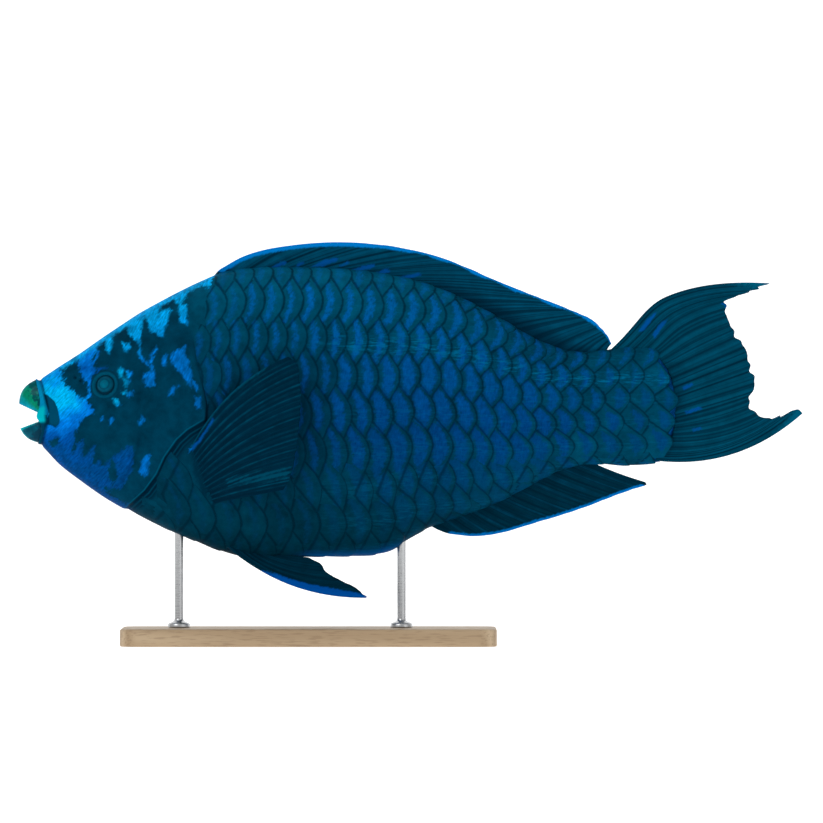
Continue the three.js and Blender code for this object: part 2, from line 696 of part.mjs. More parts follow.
const clearOfBody = scaledBody(GAP);
const stalkEnd = (() => {
  const { along, high, radius } = STALK_END;
  const arc = [];
  for (let k = 0; k <= 20; k++) {
    const angle = lerp(-1.1, 1.1, k / 20);
    arc.push([along + radius * Math.cos(angle), high + radius * Math.sin(angle)]);
  }
  return [[STALK_FRONT, -70], ...arc, [STALK_FRONT, 75]];
})();
const body = scaledBody();
const stalk = largest(body.intersect(prism(stalkEnd)));
const clearOfStalk = clearOfBody.intersect(prism(grown(stalkEnd, GAP)));

show("head", makeHead(), SKIN);
show("gill_cover_left", makeGillCover(-1), SKIN);
show("gill_cover_right", makeGillCover(1), SKIN);
show("beak_upper", beak(UPPER_JAW, 1), BEAK);
show("beak_lower", beak(LOWER_JAW, -1), BEAK);
for (const [side, way] of [["left", -1], ["right", 1]]) {
  show("eye_" + side, sphere(eyeCentre(way), EYE.radius, 18), EYES);
}
show("trunk", largest(body.intersect(trunkRegion)), SKIN);
show("tail_stalk", stalk, SKIN);
show("dorsal_fin", largest(makeDorsal().subtract(clearOfBody)), FINS);
show("anal_fin", largest(makeAnal().subtract(clearOfBody)), FINS);
show("tail_fin_upper", largest(makeTail("upper").subtract(clearOfStalk)), FINS);
show("tail_fin_lower", largest(makeTail("lower").subtract(clearOfStalk)), FINS);
for (const [side, way] of [["left", -1], ["right", 1]]) {
  show("pectoral_fin_" + side, largest(makePectoral(way).subtract(clearOfBody)), FINS);
  show("pelvic_fin_" + side, largest(makePelvic(way).subtract(clearOfBody)), FINS);
}
show("stand_base", makeBase(), ASH);
show("stand_rod_front", makeRod(ROD_PLACES.front, clearOfBody), STEEL);
show("stand_rod_rear", makeRod(ROD_PLACES.rear, clearOfBody), STEEL);

export default group;
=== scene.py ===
"""A life-size midnight parrotfish, swimming to the left over a two-rod stand, as a museum model."""
import math

import bmesh
import bpy
import numpy as np
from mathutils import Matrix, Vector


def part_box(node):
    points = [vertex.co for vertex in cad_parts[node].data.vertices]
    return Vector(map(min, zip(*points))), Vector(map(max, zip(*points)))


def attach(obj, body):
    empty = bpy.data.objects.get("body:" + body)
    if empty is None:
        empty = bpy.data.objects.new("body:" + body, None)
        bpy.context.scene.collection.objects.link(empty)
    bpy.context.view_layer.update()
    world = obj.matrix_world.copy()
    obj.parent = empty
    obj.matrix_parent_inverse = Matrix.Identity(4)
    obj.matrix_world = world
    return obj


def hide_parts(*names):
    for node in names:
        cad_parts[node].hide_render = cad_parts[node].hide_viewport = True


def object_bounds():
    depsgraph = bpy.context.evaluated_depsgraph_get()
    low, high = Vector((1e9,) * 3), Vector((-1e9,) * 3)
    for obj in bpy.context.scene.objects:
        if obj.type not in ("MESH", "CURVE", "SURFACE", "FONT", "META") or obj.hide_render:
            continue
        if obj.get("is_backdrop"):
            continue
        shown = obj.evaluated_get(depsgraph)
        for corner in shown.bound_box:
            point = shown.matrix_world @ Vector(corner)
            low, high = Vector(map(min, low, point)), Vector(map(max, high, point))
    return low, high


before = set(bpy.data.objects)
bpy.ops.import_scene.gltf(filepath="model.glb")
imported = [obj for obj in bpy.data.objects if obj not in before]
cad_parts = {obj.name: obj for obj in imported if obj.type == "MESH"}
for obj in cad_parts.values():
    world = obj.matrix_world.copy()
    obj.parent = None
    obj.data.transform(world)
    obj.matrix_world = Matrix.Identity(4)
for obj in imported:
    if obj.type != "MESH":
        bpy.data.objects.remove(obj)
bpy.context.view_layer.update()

# The skin: painted resin over the whole fish, with lips, gill covers, lids and nostrils
# modelled in it. It ends at the gums in front and thins into the root of the tail fin behind.
# Sizes along the fish are millimetres behind the beak's tip, heights are above its axis.
MM = 0.001
AXIS_HEIGHT = 187
BALANCE = 232
BACK = [
    (12, 22.5), (20, 27.8), (32.8, 36.4), (48.8, 46.6), (64.8, 57.8), (80.8, 68.6),
    (96.8, 79), (112.8, 87.9), (128.8, 96.4), (144.8, 104.4), (162.4, 111.8), (184.8, 115),
    (216.8, 115.6), (256.8, 114.4), (288.8, 111), (320.8, 104), (352.8, 91.6), (384.8, 74.8),
    (416.8, 56.8), (444.8, 48.4), (468.8, 49.6), (486.8, 52.6), (506.8, 51.6), (534.8, 43),
]
BELLY = [
    (12, -21.5), (20, -29.2), (32.8, -42.6), (48.8, -54.8), (64.8, -65.8), (80.8, -75),
    (112.8, -91.6), (144.8, -105.4), (164.8, -112.8), (184.8, -116.4), (232.8, -116.4),
    (264.8, -116), (284.8, -114.6), (298, -111), (312, -102), (328.8, -92.6), (352.8, -84),
    (379.2, -74.4), (403.2, -62.4), (424.8, -51), (444.8, -43.8), (464.8, -42.4),
    (484.8, -43.4), (506.8, -41.8), (534.8, -37),
]
FLANK = [
    (12, 10.5), (20, 15.5), (32.8, 21.5), (48.8, 27), (68.8, 33), (96.8, 40), (128.8, 45.5),
    (164.8, 49), (208.8, 50), (256.8, 48.5), (304.8, 43), (352.8, 35.5), (400.8, 27),
    (444.8, 19.5), (484.8, 13), (512.8, 8.5), (534.8, 5),
]
WIDEST_SHARE = 0.48
BACK_TAPER = 1.12
BELLY_TAPER = 0.94
GILL_EDGE = [
    (166, 126), (155.5, 101), (145, 79), (139, 59), (142.4, 39.6), (147.2, 21.2),
    (150.6, 6.8), (149.6, -6.8), (136, -14.8), (127.2, -22.8), (117.6, -36.4), (111.2, -50),
    (101.6, -62.8), (88.8, -74), (72, -90),
]
GILL_HINGE = [
    (122, 56), (110, 47.6), (104.5, 29.2), (102, 9.2), (99.2, -10.8), (95.2, -30.8),
    (87.8, -48.4), (78.8, -62.8),
]
UPPER_JAW = {
    "gum": (14.6, 26), "gum_corner": (21, -2.6), "gum_half": 11.2,
    "belly": (0, 20.4), "belly_corner": (15, 3.5),
    "edge": (0.1, 6.1), "edge_corner": (16.4, -1.6), "edge_half": 8.4,
}
LOWER_JAW = {
    "gum": (15.6, -25), "gum_corner": (21, -7.8), "gum_half": 10.4,
    "belly": (4.6, -22.6), "belly_corner": (16, -12),
    "edge": (1, -13.4), "edge_corner": (16.8, -7.4), "edge_half": 7.2,
}
THROAT = (34, 0, -5)
WEB_TURN = 0.17
WEB_REACH = 5.4
LIP_WIDE = 1.5
LIP_PROUD = 0.9
GUM_THICK = 2.4
WEB_HALF = 9.2
SKIN_START = 22.9
HEAD_STEP = 0.8
NECK_ALONG = 172
THINS_FROM = 512
STALK_END = 522.0
TAIL_ALONG = 534
STALK_ARC = {"along": 464, "high": 3.5, "radius": 66}
COVER = {"proud": 1.7, "reach": 20, "valley": 1.3, "valley_reach": 9}
GROOVES = {"hinge": 0.5, "lip": 0.75, "leaf": 0.9, "leaf_rim": 0.35, "chin": 0.5}
EYELID = {"ring": 10.1, "wide": 1.7, "proud": 1.25, "opening": 8.6}
LID_GROOVE = {"ring": 13.2, "wide": 1.4, "deep": 0.5}
NOSTRIL = {"radius": 1.0, "deep": 1.7, "ring": 2.0, "wide": 0.8, "proud": 0.45}
SCALE_BED = 0.9
SKIN_AROUND = 400
EYE_PLACE = (69.6, 21.2)
NOSTRILS = [(49.6, 24.6), (45.4, 27)]
MOUTH_HEART = np.array([27.0, 0.0, -5.2])
PHOTO_POINT = 0.8
PHOTO_TIP = (19, 411.5)


def through(points):
    """A smooth curve y(x) through a list of points."""
    x, y = np.array(points, float).T
    last = len(x) - 1
    before = np.maximum(0, np.arange(last + 1) - 1)
    after = np.minimum(last, np.arange(last + 1) + 1)
    slope = (y[after] - y[before]) / (x[after] - x[before])

    def curve(q):
        q = np.asarray(q, float)
        i = np.clip(np.searchsorted(x, q, side="right") - 1, 0, last - 1)
        h = x[i + 1] - x[i]
        t = (q - x[i]) / h
        start = (2 * t**3 - 3 * t**2 + 1) * y[i] + (t**3 - 2 * t**2 + t) * slope[i] * h
        return start + (t**3 - t**2) * slope[i + 1] * h + (3 * t**2 - 2 * t**3) * y[i + 1]

    return curve


back_line = through(BACK)
belly_line = through(BELLY)
flank_line = through(FLANK)


def partway(a, b, share):
    """A share of the way from a to b."""
    return a + (b - a) * share


def ease(value, low, high):
    """Runs smoothly from 0 at low to 1 at high."""
    t = np.clip((value - low) / (high - low), 0, 1)
    return t * t * (3 - 2 * t)


def bell(value, centre, width):
    """A smooth bump that is 1 at its centre."""
    return np.exp(-(((value - centre) / width) ** 2))


def unit_vectors(directions):
    return directions / np.maximum(np.linalg.norm(directions, axis=-1, keepdims=True), 1e-9)


def in_frame(along, side, high):
    """Places on the fish, as corners of the model in metres."""
    return np.stack(np.broadcast_arrays(along - BALANCE, side, high + AXIS_HEIGHT), -1) * MM


def section(along, turn, lift=0.0):
    """The body's skin: turn 0 is the back, half a turn the belly, the left flank between."""
    top = back_line(along) + lift
    bottom = belly_line(along) - lift
    middle = partway(bottom, top, WIDEST_SHARE)
    upper = np.cos(turn) > 0
    taper = np.where(upper, BACK_TAPER, BELLY_TAPER)
    wide = (flank_line(along) + lift) * np.abs(np.sin(turn)) ** taper
    high = middle + np.cos(turn) * np.where(upper, top - middle, middle - bottom)
    return -np.sign(np.sin(turn)) * wide, high


def half_width(along, high):
    """Half the body's width at one height."""
    top, bottom = back_line(along), belly_line(along)
    middle = partway(bottom, top, WIDEST_SHARE)
    share = (high - middle) / np.where(high > middle, top - middle, middle - bottom)
    taper = np.where(share > 0, BACK_TAPER, BELLY_TAPER)
    return flank_line(along) * np.sqrt(np.maximum(0, 1 - share**2)) ** taper


def stalk_end(high):
    """Where the tail stalk's skin ends at a height, on the arc of the tail fin's root."""
    rise = np.clip((high - STALK_ARC["high"]) / STALK_ARC["radius"], -0.95, 0.95)
    return STALK_ARC["along"] + STALK_ARC["radius"] * np.sqrt(1 - rise**2) - 1.5


def gum_back(angle):
    """How far back the gum runs at an angle from the jaw's middle, up to the mouth's corner."""
    return 1 - np.cos(np.clip(angle / (1 - WEB_TURN * 2 / math.pi), 0, math.pi / 2))


def jaw_line(jaw, part, back):
    """A jaw's gum, belly or edge, from 0 at its middle to 1 at the mouth's corner."""
    return [partway(jaw[part][k], jaw[part + "_corner"][k], back) for k in (0, 1)]


def from_photo(*points):
    """Millimetres on the fish for places read off its left side in the photograph."""
    tip_x, tip_y = PHOTO_TIP
    return [((x - tip_x) * PHOTO_POINT, (tip_y - y) * PHOTO_POINT) for x, y in points]


def line_steps(line, closed):
    start = np.array(line if closed else line[:-1], float)
    end = np.array(line[1:] + line[:1] if closed else line[1:], float)
    return zip(start, end)


def from_step(a, b, along, high):
    """One step of a line, and the distance in millimetres from it."""
    run = b - a
    share = np.clip(((along - a[0]) * run[0] + (high - a[1]) * run[1]) / (run @ run), 0, 1)
    return run, np.hypot(along - a[0] - share * run[0], high - a[1] - share * run[1])


def inside(outline, along, high):
    """Distance in millimetres from an outline, above 0 inside it."""
    nearest = np.full(np.shape(along), 1e9)
    crossed = np.zeros(np.shape(along), bool)
    for a, b in line_steps(outline, True):
        run, away = from_step(a, b, along, high)
        nearest = np.minimum(nearest, away)
        spans = (a[1] > high) != (b[1] > high)
        where = a[0] + (high - a[1]) * run[0] / (run[1] if run[1] else 1e-9)
        crossed ^= spans & (along < where)
    return np.where(crossed, nearest, -nearest)


def beside(line, along, high):
    """Distance in millimetres from an open line, above 0 on its front side."""
    nearest = np.full(np.shape(along), 1e9)
    signed = np.full(np.shape(along), 1e9)
    for a, b in line_steps(line, False):
        run, away = from_step(a, b, along, high)
        cross = run[0] * (high - a[1]) - run[1] * (along - a[0])
        front = np.where(cross * np.sign(run[1]) > 0, 1, -1)
        signed = np.where(away < nearest, away * front, signed)
        nearest = np.minimum(nearest, away)
    return signed


def grid_sheet(columns, rows):
    """A sheet of quads, and each corner's place across and along it from 0 to 1."""
    sheet = bmesh.new()
    bmesh.ops.create_grid(sheet, x_segments=columns, y_segments=rows, size=1)
    spots = np.array([v.co[:2] for v in sheet.verts]) / 2 + 0.5
    return sheet, spots[:, 0], spots[:, 1]


def set_places(sheet, places):
    for corner, place in zip(sheet.verts, places.tolist()):
        corner.co = place


def set_fields(sheet, **fields):
    """Keeps numbers at each corner, for the material to read."""
    for name, values in fields.items():
        layer = sheet.verts.layers.float.new(name)
        for corner, value in zip(sheet.verts, values.tolist()):
            corner[layer] = value


def put_in_scene(name, data):
    made = bpy.data.objects.new(name, data)
    bpy.context.scene.collection.objects.link(made)
    return made


def solid_from(name, sheet, material, crease=None):
    """Turns a finished sheet into an object."""
    mesh = bpy.data.meshes.new(name)
    sheet.to_mesh(mesh)
    sheet.free()
    mesh.shade_smooth()
    if crease:
        mesh.set_sharp_from_angle(angle=math.radians(crease))
    mesh.materials.append(material)
    return put_in_scene(name, mesh)


def show_piece(name, sheet, material, slot, *nodes, crease=None):
    """Turns a finished sheet into a piece of the model that stands for CAD nodes."""
    piece = solid_from(name, sheet, material, crease)
    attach(piece, "root")
    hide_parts(*nodes)


# Places on the skin, corner by corner.
mouth_rings, gum_rings, lip_rings = 5, 4, 10
rear_stations = np.linspace(NECK_ALONG, TAIL_ALONG, 38)
stations = np.concatenate([np.arange(SKIN_START, NECK_ALONG, HEAD_STEP), rear_stations])
ring_count = mouth_rings + gum_rings + lip_rings + len(stations)
skin, across, down = grid_sheet(SKIN_AROUND, ring_count - 1)
ring = np.rint(down * (ring_count - 1)).astype(int)
turn = across * 2 * math.pi
fold = np.minimum(turn, 2 * math.pi - turn)
way = np.where(turn <= math.pi, -1.0, 1.0)

upper_back, lower_back = gum_back(fold), gum_back(math.pi - fold)
web = np.clip((fold - math.pi / 2) / WEB_TURN, -1, 1)
upper_gum = jaw_line(UPPER_JAW, "gum", upper_back)
lower_gum = jaw_line(LOWER_JAW, "gum", lower_back)
gum_along = np.where(web < 0, upper_gum[0], lower_gum[0])
gum_high = partway(upper_gum[1], lower_gum[1], (web + 1) / 2)
gum_wide = partway(UPPER_JAW["gum_half"], LOWER_JAW["gum_half"], (web + 1) / 2)
round_gum = 1 - np.where(web < 0, upper_back, lower_back)
gum_side = way * gum_wide * np.sqrt(np.maximum(0, 1 - round_gum**2))
gum = np.stack([gum_along, gum_side, gum_high], -1)

tent = np.sqrt(np.maximum(0, 1 - np.abs(web) ** 2.5))
web_front = gum + unit_vectors(MOUTH_HEART - gum) * GUM_THICK
web_front[:, 0] = partway(web_front[:, 0], gum_along - WEB_REACH, tent)
web_front[:, 1] = partway(web_front[:, 1], way * WEB_HALF, tent)

skin_front = gum_along + LIP_WIDE
front_side, front_high = section(skin_front, turn)
cheek = np.stack([skin_front, front_side, front_high], -1)
outwards = unit_vectors((cheek - MOUTH_HEART) * np.array([0, 1, 1]))
forwards = np.array([-1.0, 0.0, 0.0])

places = np.zeros((len(turn), 3))
in_mouth = ring < mouth_rings
share = ((ring + 1) / (mouth_rings + 1))[:, None]
cave = partway(np.array(THROAT), web_front, np.concatenate([share**2, share**0.6, share**0.6], 1))
places[in_mouth] = cave[in_mouth]
in_gum = (ring >= mouth_rings) & (ring < mouth_rings + gum_rings)
share = ((ring - mouth_rings) / gum_rings)[:, None]
places[in_gum] = partway(web_front, gum, share)[in_gum]
lip_start = mouth_rings + gum_rings
in_lip = (ring >= lip_start) & (ring < lip_start + lip_rings)
share = np.clip((ring - lip_start) / lip_rings, 0, 1)[:, None]
corner = bell(fold, math.pi / 2, 0.3)
lower_share = ease(fold, 1.6, 1.95)
reach_out = (LIP_PROUD * partway(1, 0.35, lower_share) + 0.9 * corner)[:, None]
reach_on = (partway(2.6, 1.2, lower_share) + 7.0 * corner)[:, None]
crest = gum + outwards * reach_out + forwards * reach_on
shoulder = cheek + outwards * reach_out * 0.7 + forwards * reach_on
lip = (
    (1 - share) ** 3 * gum + 3 * share * (1 - share) ** 2 * crest
    + 3 * share**2 * (1 - share) * shoulder + share**3 * cheek
)
places[in_lip] = lip[in_lip]
on_body = ring >= lip_start + lip_rings
station = stations[np.clip(ring - lip_start - lip_rings, 0, len(stations) - 1)]
_, end_high = section(np.full_like(turn, STALK_END), turn)
body_along = station + (skin_front - SKIN_START) * (1 - ease(station, SKIN_START, 66))
body_along += (stalk_end(end_high) - TAIL_ALONG) * ease(station, 465, TAIL_ALONG)
bed = SCALE_BED * ease(body_along, 120, 172)
body_side, body_high = section(body_along, turn, -bed)
to_end = np.clip((station - THINS_FROM) / (TAIL_ALONG - THINS_FROM), 0, 1)
closing = np.sqrt(np.maximum(0, 1 - to_end**2.2))
places[on_body] = np.stack([body_along, body_side * closing, body_high], -1)[on_body]

# The outward direction of the skin at each corner, from its neighbours in the sheet.
order = np.lexsort((across, ring))
sheet_shape = (ring_count, SKIN_AROUND + 1, 3)
laid = places[order].reshape(sheet_shape)
ahead = np.gradient(laid, axis=0)
round_it = np.empty_like(laid)
round_it[:, 1:-1] = laid[:, 2:] - laid[:, :-2]
round_it[:, 0] = round_it[:, -1] = laid[:, 1] - laid[:, -2]
normal = np.empty_like(places)
normal[order] = unit_vectors(np.cross(ahead, round_it)).reshape(-1, 3)
outside = np.sign(normal[:, 1] * places[:, 1] + normal[:, 2] * (places[:, 2] + 2))
if np.median(outside[ring > lip_start]) < 0:
    normal = -normal

along, high = places[:, 0], places[:, 2]
gill_step = beside(GILL_EDGE, along, high)
hinge_step = beside(GILL_HINGE, along, high)
edge_share = (1 - ease(high, 44, 66)) * ease(high, -90, -68) * on_body
behind = np.maximum(-gill_step, 0)
on_cover = ease(gill_step, -3.0, 1.8)
cover_rise = COVER["proud"] * on_cover * np.exp(-np.maximum(gill_step, 0) / COVER["reach"])
valley = -COVER["valley"] * np.exp(-behind / COVER["valley_reach"]) * (1 - on_cover)
membrane = 1 - ease(high, -14, 2)
relief = edge_share * (cover_rise + valley)
hinge_groove = bell(hinge_step, 0, 1.6) * ease(high, -66, -52) * (1 - ease(high, -26, -6))
relief -= GROOVES["hinge"] * hinge_groove * on_body
lip_step = along - skin_front
lip_groove = bell(lip_step, 0.9, 0.9) * (station < 40) * on_body
relief -= GROOVES["lip"] * lip_groove

LEAF = from_photo(
    (43.7, 393.6), (47.9, 395.1), (54.8, 401.2), (57.8, 407.3), (59, 412.7), (60.5, 420.5),
    (59.4, 424.2), (56.3, 427.2), (51.7, 424.9), (47.9, 424.2), (45.4, 426.8), (43.2, 431.8),
    (42.4, 438.7), (38, 443), (38, 425), (43.3, 421.1), (47.9, 417.3), (49.4, 413.5),
    (47.9, 408.9), (45.6, 401.2),
)
CHIN_FOLD = from_photo((103.5, 485.5), (112, 488), (121, 487.6), (129, 479), (133, 468))
FIN_ROOT_SKIN = from_photo(
    (192, 451), (198, 443), (207, 436), (216, 432), (228, 450), (232, 480), (226, 502),
    (213, 503), (203, 494), (195, 474),
)
leaf_in = inside(LEAF, along, high)
relief -= GROOVES["leaf"] * ease(leaf_in, -0.4, 1.6) * on_body
relief += GROOVES["leaf_rim"] * bell(leaf_in, -1.4, 1.2) * on_body

eye_axes = []
eye_near = np.full(len(turn), 40.0)
for eye_name in ("eye_left", "eye_right"):
    low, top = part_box(eye_name)
    centre = np.array((low + top) / 2) / MM
    centre -= np.array([-BALANCE, 0, AXIS_HEIGHT])
    side = np.sign(centre[1])
    on_skin = (EYE_PLACE[0], side * half_width(*EYE_PLACE), EYE_PLACE[1])
    outward = unit_vectors(np.array(on_skin) - centre)
    eye_axes.append((centre, outward))
    from_centre = places - centre
    up_axis = from_centre @ outward
    eye_ring = np.linalg.norm(from_centre - up_axis[:, None] * outward, axis=1)
    near_eye = (up_axis > -4) & (eye_ring < 24) & on_body
    rim = EYELID["proud"] * bell(eye_ring, EYELID["ring"], EYELID["wide"])
    rim -= LID_GROOVE["deep"] * bell(eye_ring, LID_GROOVE["ring"], LID_GROOVE["wide"])
    rim -= 0.95 * np.maximum(0, EYELID["opening"] - eye_ring)
    relief += np.where(near_eye, rim, 0)
    eye_near = np.where(near_eye, eye_ring, eye_near)
for nostril_along, nostril_high in NOSTRILS:
    pit = np.hypot(along - nostril_along, high - nostril_high)
    nostril_rim = NOSTRIL["proud"] * bell(pit, NOSTRIL["ring"], NOSTRIL["wide"])
    relief += on_body * (nostril_rim - NOSTRIL["deep"] * bell(pit, 0, NOSTRIL["radius"]))
chin_fold = beside(CHIN_FOLD, along, high)
relief -= GROOVES["chin"] * bell(chin_fold, 0, 1.3) * on_body * (along < 100) * (high < -40)
places += normal * relief[:, None]

# The markings, as distances from their outlines. Dark fields first, then the blue patches.
NOSE_DARK = from_photo(
    (59.7, 371), (61, 362), (68, 355), (80, 350), (79.5, 361.6), (81.5, 366), (83, 376),
    (89, 382), (92, 391), (90, 398.6), (84, 400), (79, 397), (76, 393), (72.5, 391),
    (70, 388.5), (66, 388), (66.5, 381), (62.5, 381.5), (60.5, 377),
)
CHEEK_DARK = from_photo(
    (90.5, 383), (91, 396), (88, 399.5), (91.5, 405), (95.5, 410), (93.5, 412.7),
    (84, 419.5), (79.5, 424), (76.3, 430), (75, 436), (76, 438), (73.8, 447), (73.3, 453),
    (75.6, 452), (79, 445), (82.4, 440), (85, 438.5), (84, 446), (84, 456), (86, 457.2),
    (90.5, 450.5), (94.4, 445), (97.5, 444.6), (96, 451), (93.2, 458), (92.9, 462.6),
    (97.4, 464.6), (99.6, 459.6), (101.2, 458.6), (101.6, 464.8), (104, 466), (108, 462.4),
    (111.8, 459), (110.6, 465), (109, 472), (110.6, 481), (113.8, 484.4), (116.6, 481),
    (117.8, 472), (116, 463.2), (113.6, 458.4), (118, 453.6), (123.3, 450), (128, 446),
    (134.8, 445.4), (134.6, 458), (132.4, 471), (124, 487), (119, 491), (128, 505),
    (150, 530), (230, 560), (330, 560), (330, 240), (216, 262), (196, 283), (186, 289),
    (171, 298), (155, 307.6), (144, 314), (128, 323.4), (107, 335), (99, 344), (96, 352),
    (94, 358), (92.6, 366), (96, 370),
)
THROAT_TEAL = from_photo(
    (103, 486), (110, 489), (124, 488), (128, 495), (135, 500), (127, 505), (118, 500),
    (107, 492),
)
CHIN_SPOT = from_photo((49, 441), (54, 438), (61, 437.6), (60, 443), (55, 448), (51, 446.6))
BLUE_PATCHES = [from_photo(*outline) for outline in (
    ((112, 333), (113, 343), (110, 354.8), (106.6, 350), (106, 341), (107, 334)),
    ((127, 322), (140, 313), (145, 317), (142, 324), (141.6, 340), (140.3, 345.6), (136.4, 341.3),
     (133.1, 336.6), (130.6, 336), (127.3, 329)),
    ((123.2, 342.6), (126, 345), (129.8, 343), (131.5, 347), (128.1, 352), (124.8, 350.8)),
    ((143.6, 316), (148, 310), (162, 301), (160.5, 309.8), (159, 312.3), (169.6, 308),
     (172.4, 310.6), (168.8, 316.4), (167.9, 324.7), (165.5, 327), (164.8, 337), (162.1, 338.4),
     (158.8, 335.5), (153.8, 331.8), (151, 332), (148.9, 323), (145.6, 319)),
    ((171, 297), (186, 288), (186.4, 297.4), (182.9, 303.4), (177.1, 303.4), (174.6, 300.7)),
    ((180.2, 304.6), (187.2, 305.4), (188, 316.4), (187.6, 325), (180.2, 321.6), (179.4, 312)),
    ((199, 283), (209, 273), (219, 268), (216, 281), (209.4, 287.4), (202.8, 286)),
    ((144.7, 372.6), (148, 373.8), (151.4, 371.6), (156.5, 373.4), (155.7, 384.6), (151.4, 387.2),
     (147.2, 386.3), (144.5, 381.9)),
    ((152, 357), (153.6, 356.4), (153.2, 363), (155.2, 371.6), (153, 373), (151, 364)),
    ((157.4, 346.6), (158.4, 350), (156.3, 353.4), (152, 358), (150.8, 356.4), (154.8, 352)),
    ((140, 347.6), (141.4, 348.4), (141.2, 352.8), (144.2, 358), (148, 362.2), (150.6, 366),
     (149, 366.6), (142.6, 360.4), (139.4, 353.6)),
    ((163, 359.6), (168.2, 354), (167.2, 361.2), (166.3, 366.6), (163.8, 365.4)),
    ((171.8, 357), (175.4, 351.8), (186.6, 346.6), (184.5, 352.9), (188.7, 359.6), (190.6, 367),
     (194, 375.3), (193, 381), (192.4, 387), (186.2, 380.5), (182.7, 373.9), (176.2, 368),
     (172.7, 362.9)),
    ((191.6, 376.6), (196, 381.4), (199.6, 385.6), (197.6, 392), (195.8, 386.8), (192, 381)),
    ((171, 391), (175, 387.6), (180, 385.6), (176.4, 390.4), (172.9, 394), (168.6, 398.4)),
    ((196.4, 397), (202.8, 397.4), (202, 403), (201.4, 409), (197.9, 408.4)),
    ((118.6, 369.4), (121.4, 367), (124.8, 370), (124, 374), (123.6, 379), (120.6, 376.6)),
    ((126.8, 371), (128.6, 370.6), (131, 373), (133.2, 372.4), (132, 376), (129, 378)),
    ((124.4, 380), (127, 378), (131, 381.6), (129.6, 385), (126.5, 387)),
    ((121.6, 392.6), (125, 393), (128.1, 390), (129.6, 392.6), (135, 391.6), (133, 395),
     (130.6, 397.6), (127.6, 394.6), (124.8, 395.4)),
    ((114.4, 399), (119.4, 399), (121.4, 403.8), (118.6, 406.6), (116, 403)),
    ((111, 418.4), (114.4, 417.8), (113.4, 421), (111.6, 424.4), (110, 421)),
    ((101.6, 418.6), (104.4, 416.8), (104.6, 419), (102.6, 421.4)),
    ((139.4, 421.6), (141.6, 421), (143.4, 416.6), (145.2, 417), (144.8, 421), (142.6, 423.6),
     (140.6, 424.8)),
    ((140.4, 472), (141.4, 466), (143.6, 460), (147, 456), (150.8, 454), (150.6, 460), (150.2, 468),
     (148, 474.4), (144, 476)),
    ((190, 452), (192.4, 446.6), (199, 442.6), (204.6, 433), (209.4, 427), (210.4, 430), (204, 440),
     (200.6, 446), (194, 449.6)),
)]
OVER_EYE = from_photo(
    (83, 372), (85.6, 366), (93, 362), (96, 357), (99.6, 350), (96, 362), (91, 372), (93, 371),
    (99, 368), (105, 366.4), (112, 368.6), (106, 369), (98, 371.4), (93, 376), (91, 385),
    (88.6, 385), (86.4, 378),
)
dark = np.maximum.reduce([
    0.6 * inside(NOSE_DARK, along, high) - 0.5, inside(CHEEK_DARK, along, high),
    inside(THROAT_TEAL, along, high), inside(CHIN_SPOT, along, high) - 0.4,
])
blue = np.maximum.reduce([inside(patch, along, high) for patch in BLUE_PATCHES])
dark = np.minimum(dark, -inside(OVER_EYE, along, high))
back_depth = back_line(along) - high
crown_run = ease(along, 28, 36) * (1 - ease(along, 158, 170))
blue = np.maximum(blue, (4.4 - back_depth) * crown_run - 6 * (1 - crown_run))
# The snout's cyan, also lighter along the top of the head: partly the snout's own colour, partly
# painted highlight where light falls from above.
snout_reach = np.hypot((along - 27) / 1.25, (high - 12) / 0.9)
snout = 1 - ease(snout_reach, 4, 54)
snout = np.maximum(snout, 0.75 * (1 - ease(back_depth, 4, 26)) * (along < 110))
# Painted shade in the hinge and lip grooves, round the leaf's rim and in the nostril pits.
groove_shade = np.maximum.reduce([
    0.35 * hinge_groove * on_body, lip_groove,
    0.6 * np.clip(bell(leaf_in, 0, 0.5), 0, 1) * on_body,
    bell(np.minimum.reduce([np.hypot(along - a, high - z) for a, z in NOSTRILS]), 0, 1.0),
])
lip_field = np.where(in_lip | in_gum, 1.0, np.where(in_mouth, -1.0, 0.0))
lip_field = np.where(on_body, 1 - ease(lip_step, -0.3, 0.5), lip_field)
web_field = ease(corner, 0.45, 0.8) * (in_gum | in_mouth | in_lip)

set_places(skin, in_frame(places[:, 0], places[:, 1], places[:, 2]))
nape = 34 * ease(high, 55, 85)
set_fields(
    skin, dark=dark, blue=blue, snout=snout, groove=groove_shade, lip=lip_field, web=web_field,
    leaf=leaf_in, behind=ease(-gill_step, -nape, 12 - 8 * ease(high, 0, 20)),
    eyering=eye_near, gill=gill_step, gilled=edge_share * partway(1, 0.35, ease(high, 5, 35)),
    membrane=membrane * edge_share, below=(web > 0).astype(float),
    finroot=inside(FIN_ROOT_SKIN, along, high), depth=back_depth,
)
bmesh.ops.remove_doubles(skin, verts=skin.verts, dist=0.00002)
bmesh.ops.holes_fill(skin, edges=[e for e in skin.edges if e.is_boundary])
bmesh.ops.recalc_face_normals(skin, faces=skin.faces)


def rgb(red, green, blue_part):
    return (red, green, blue_part, 1.0)


def sea(green, blue_part):
    """A colour with no red in it, as all of the fish's are."""
    return rgb(0.0, green, blue_part)


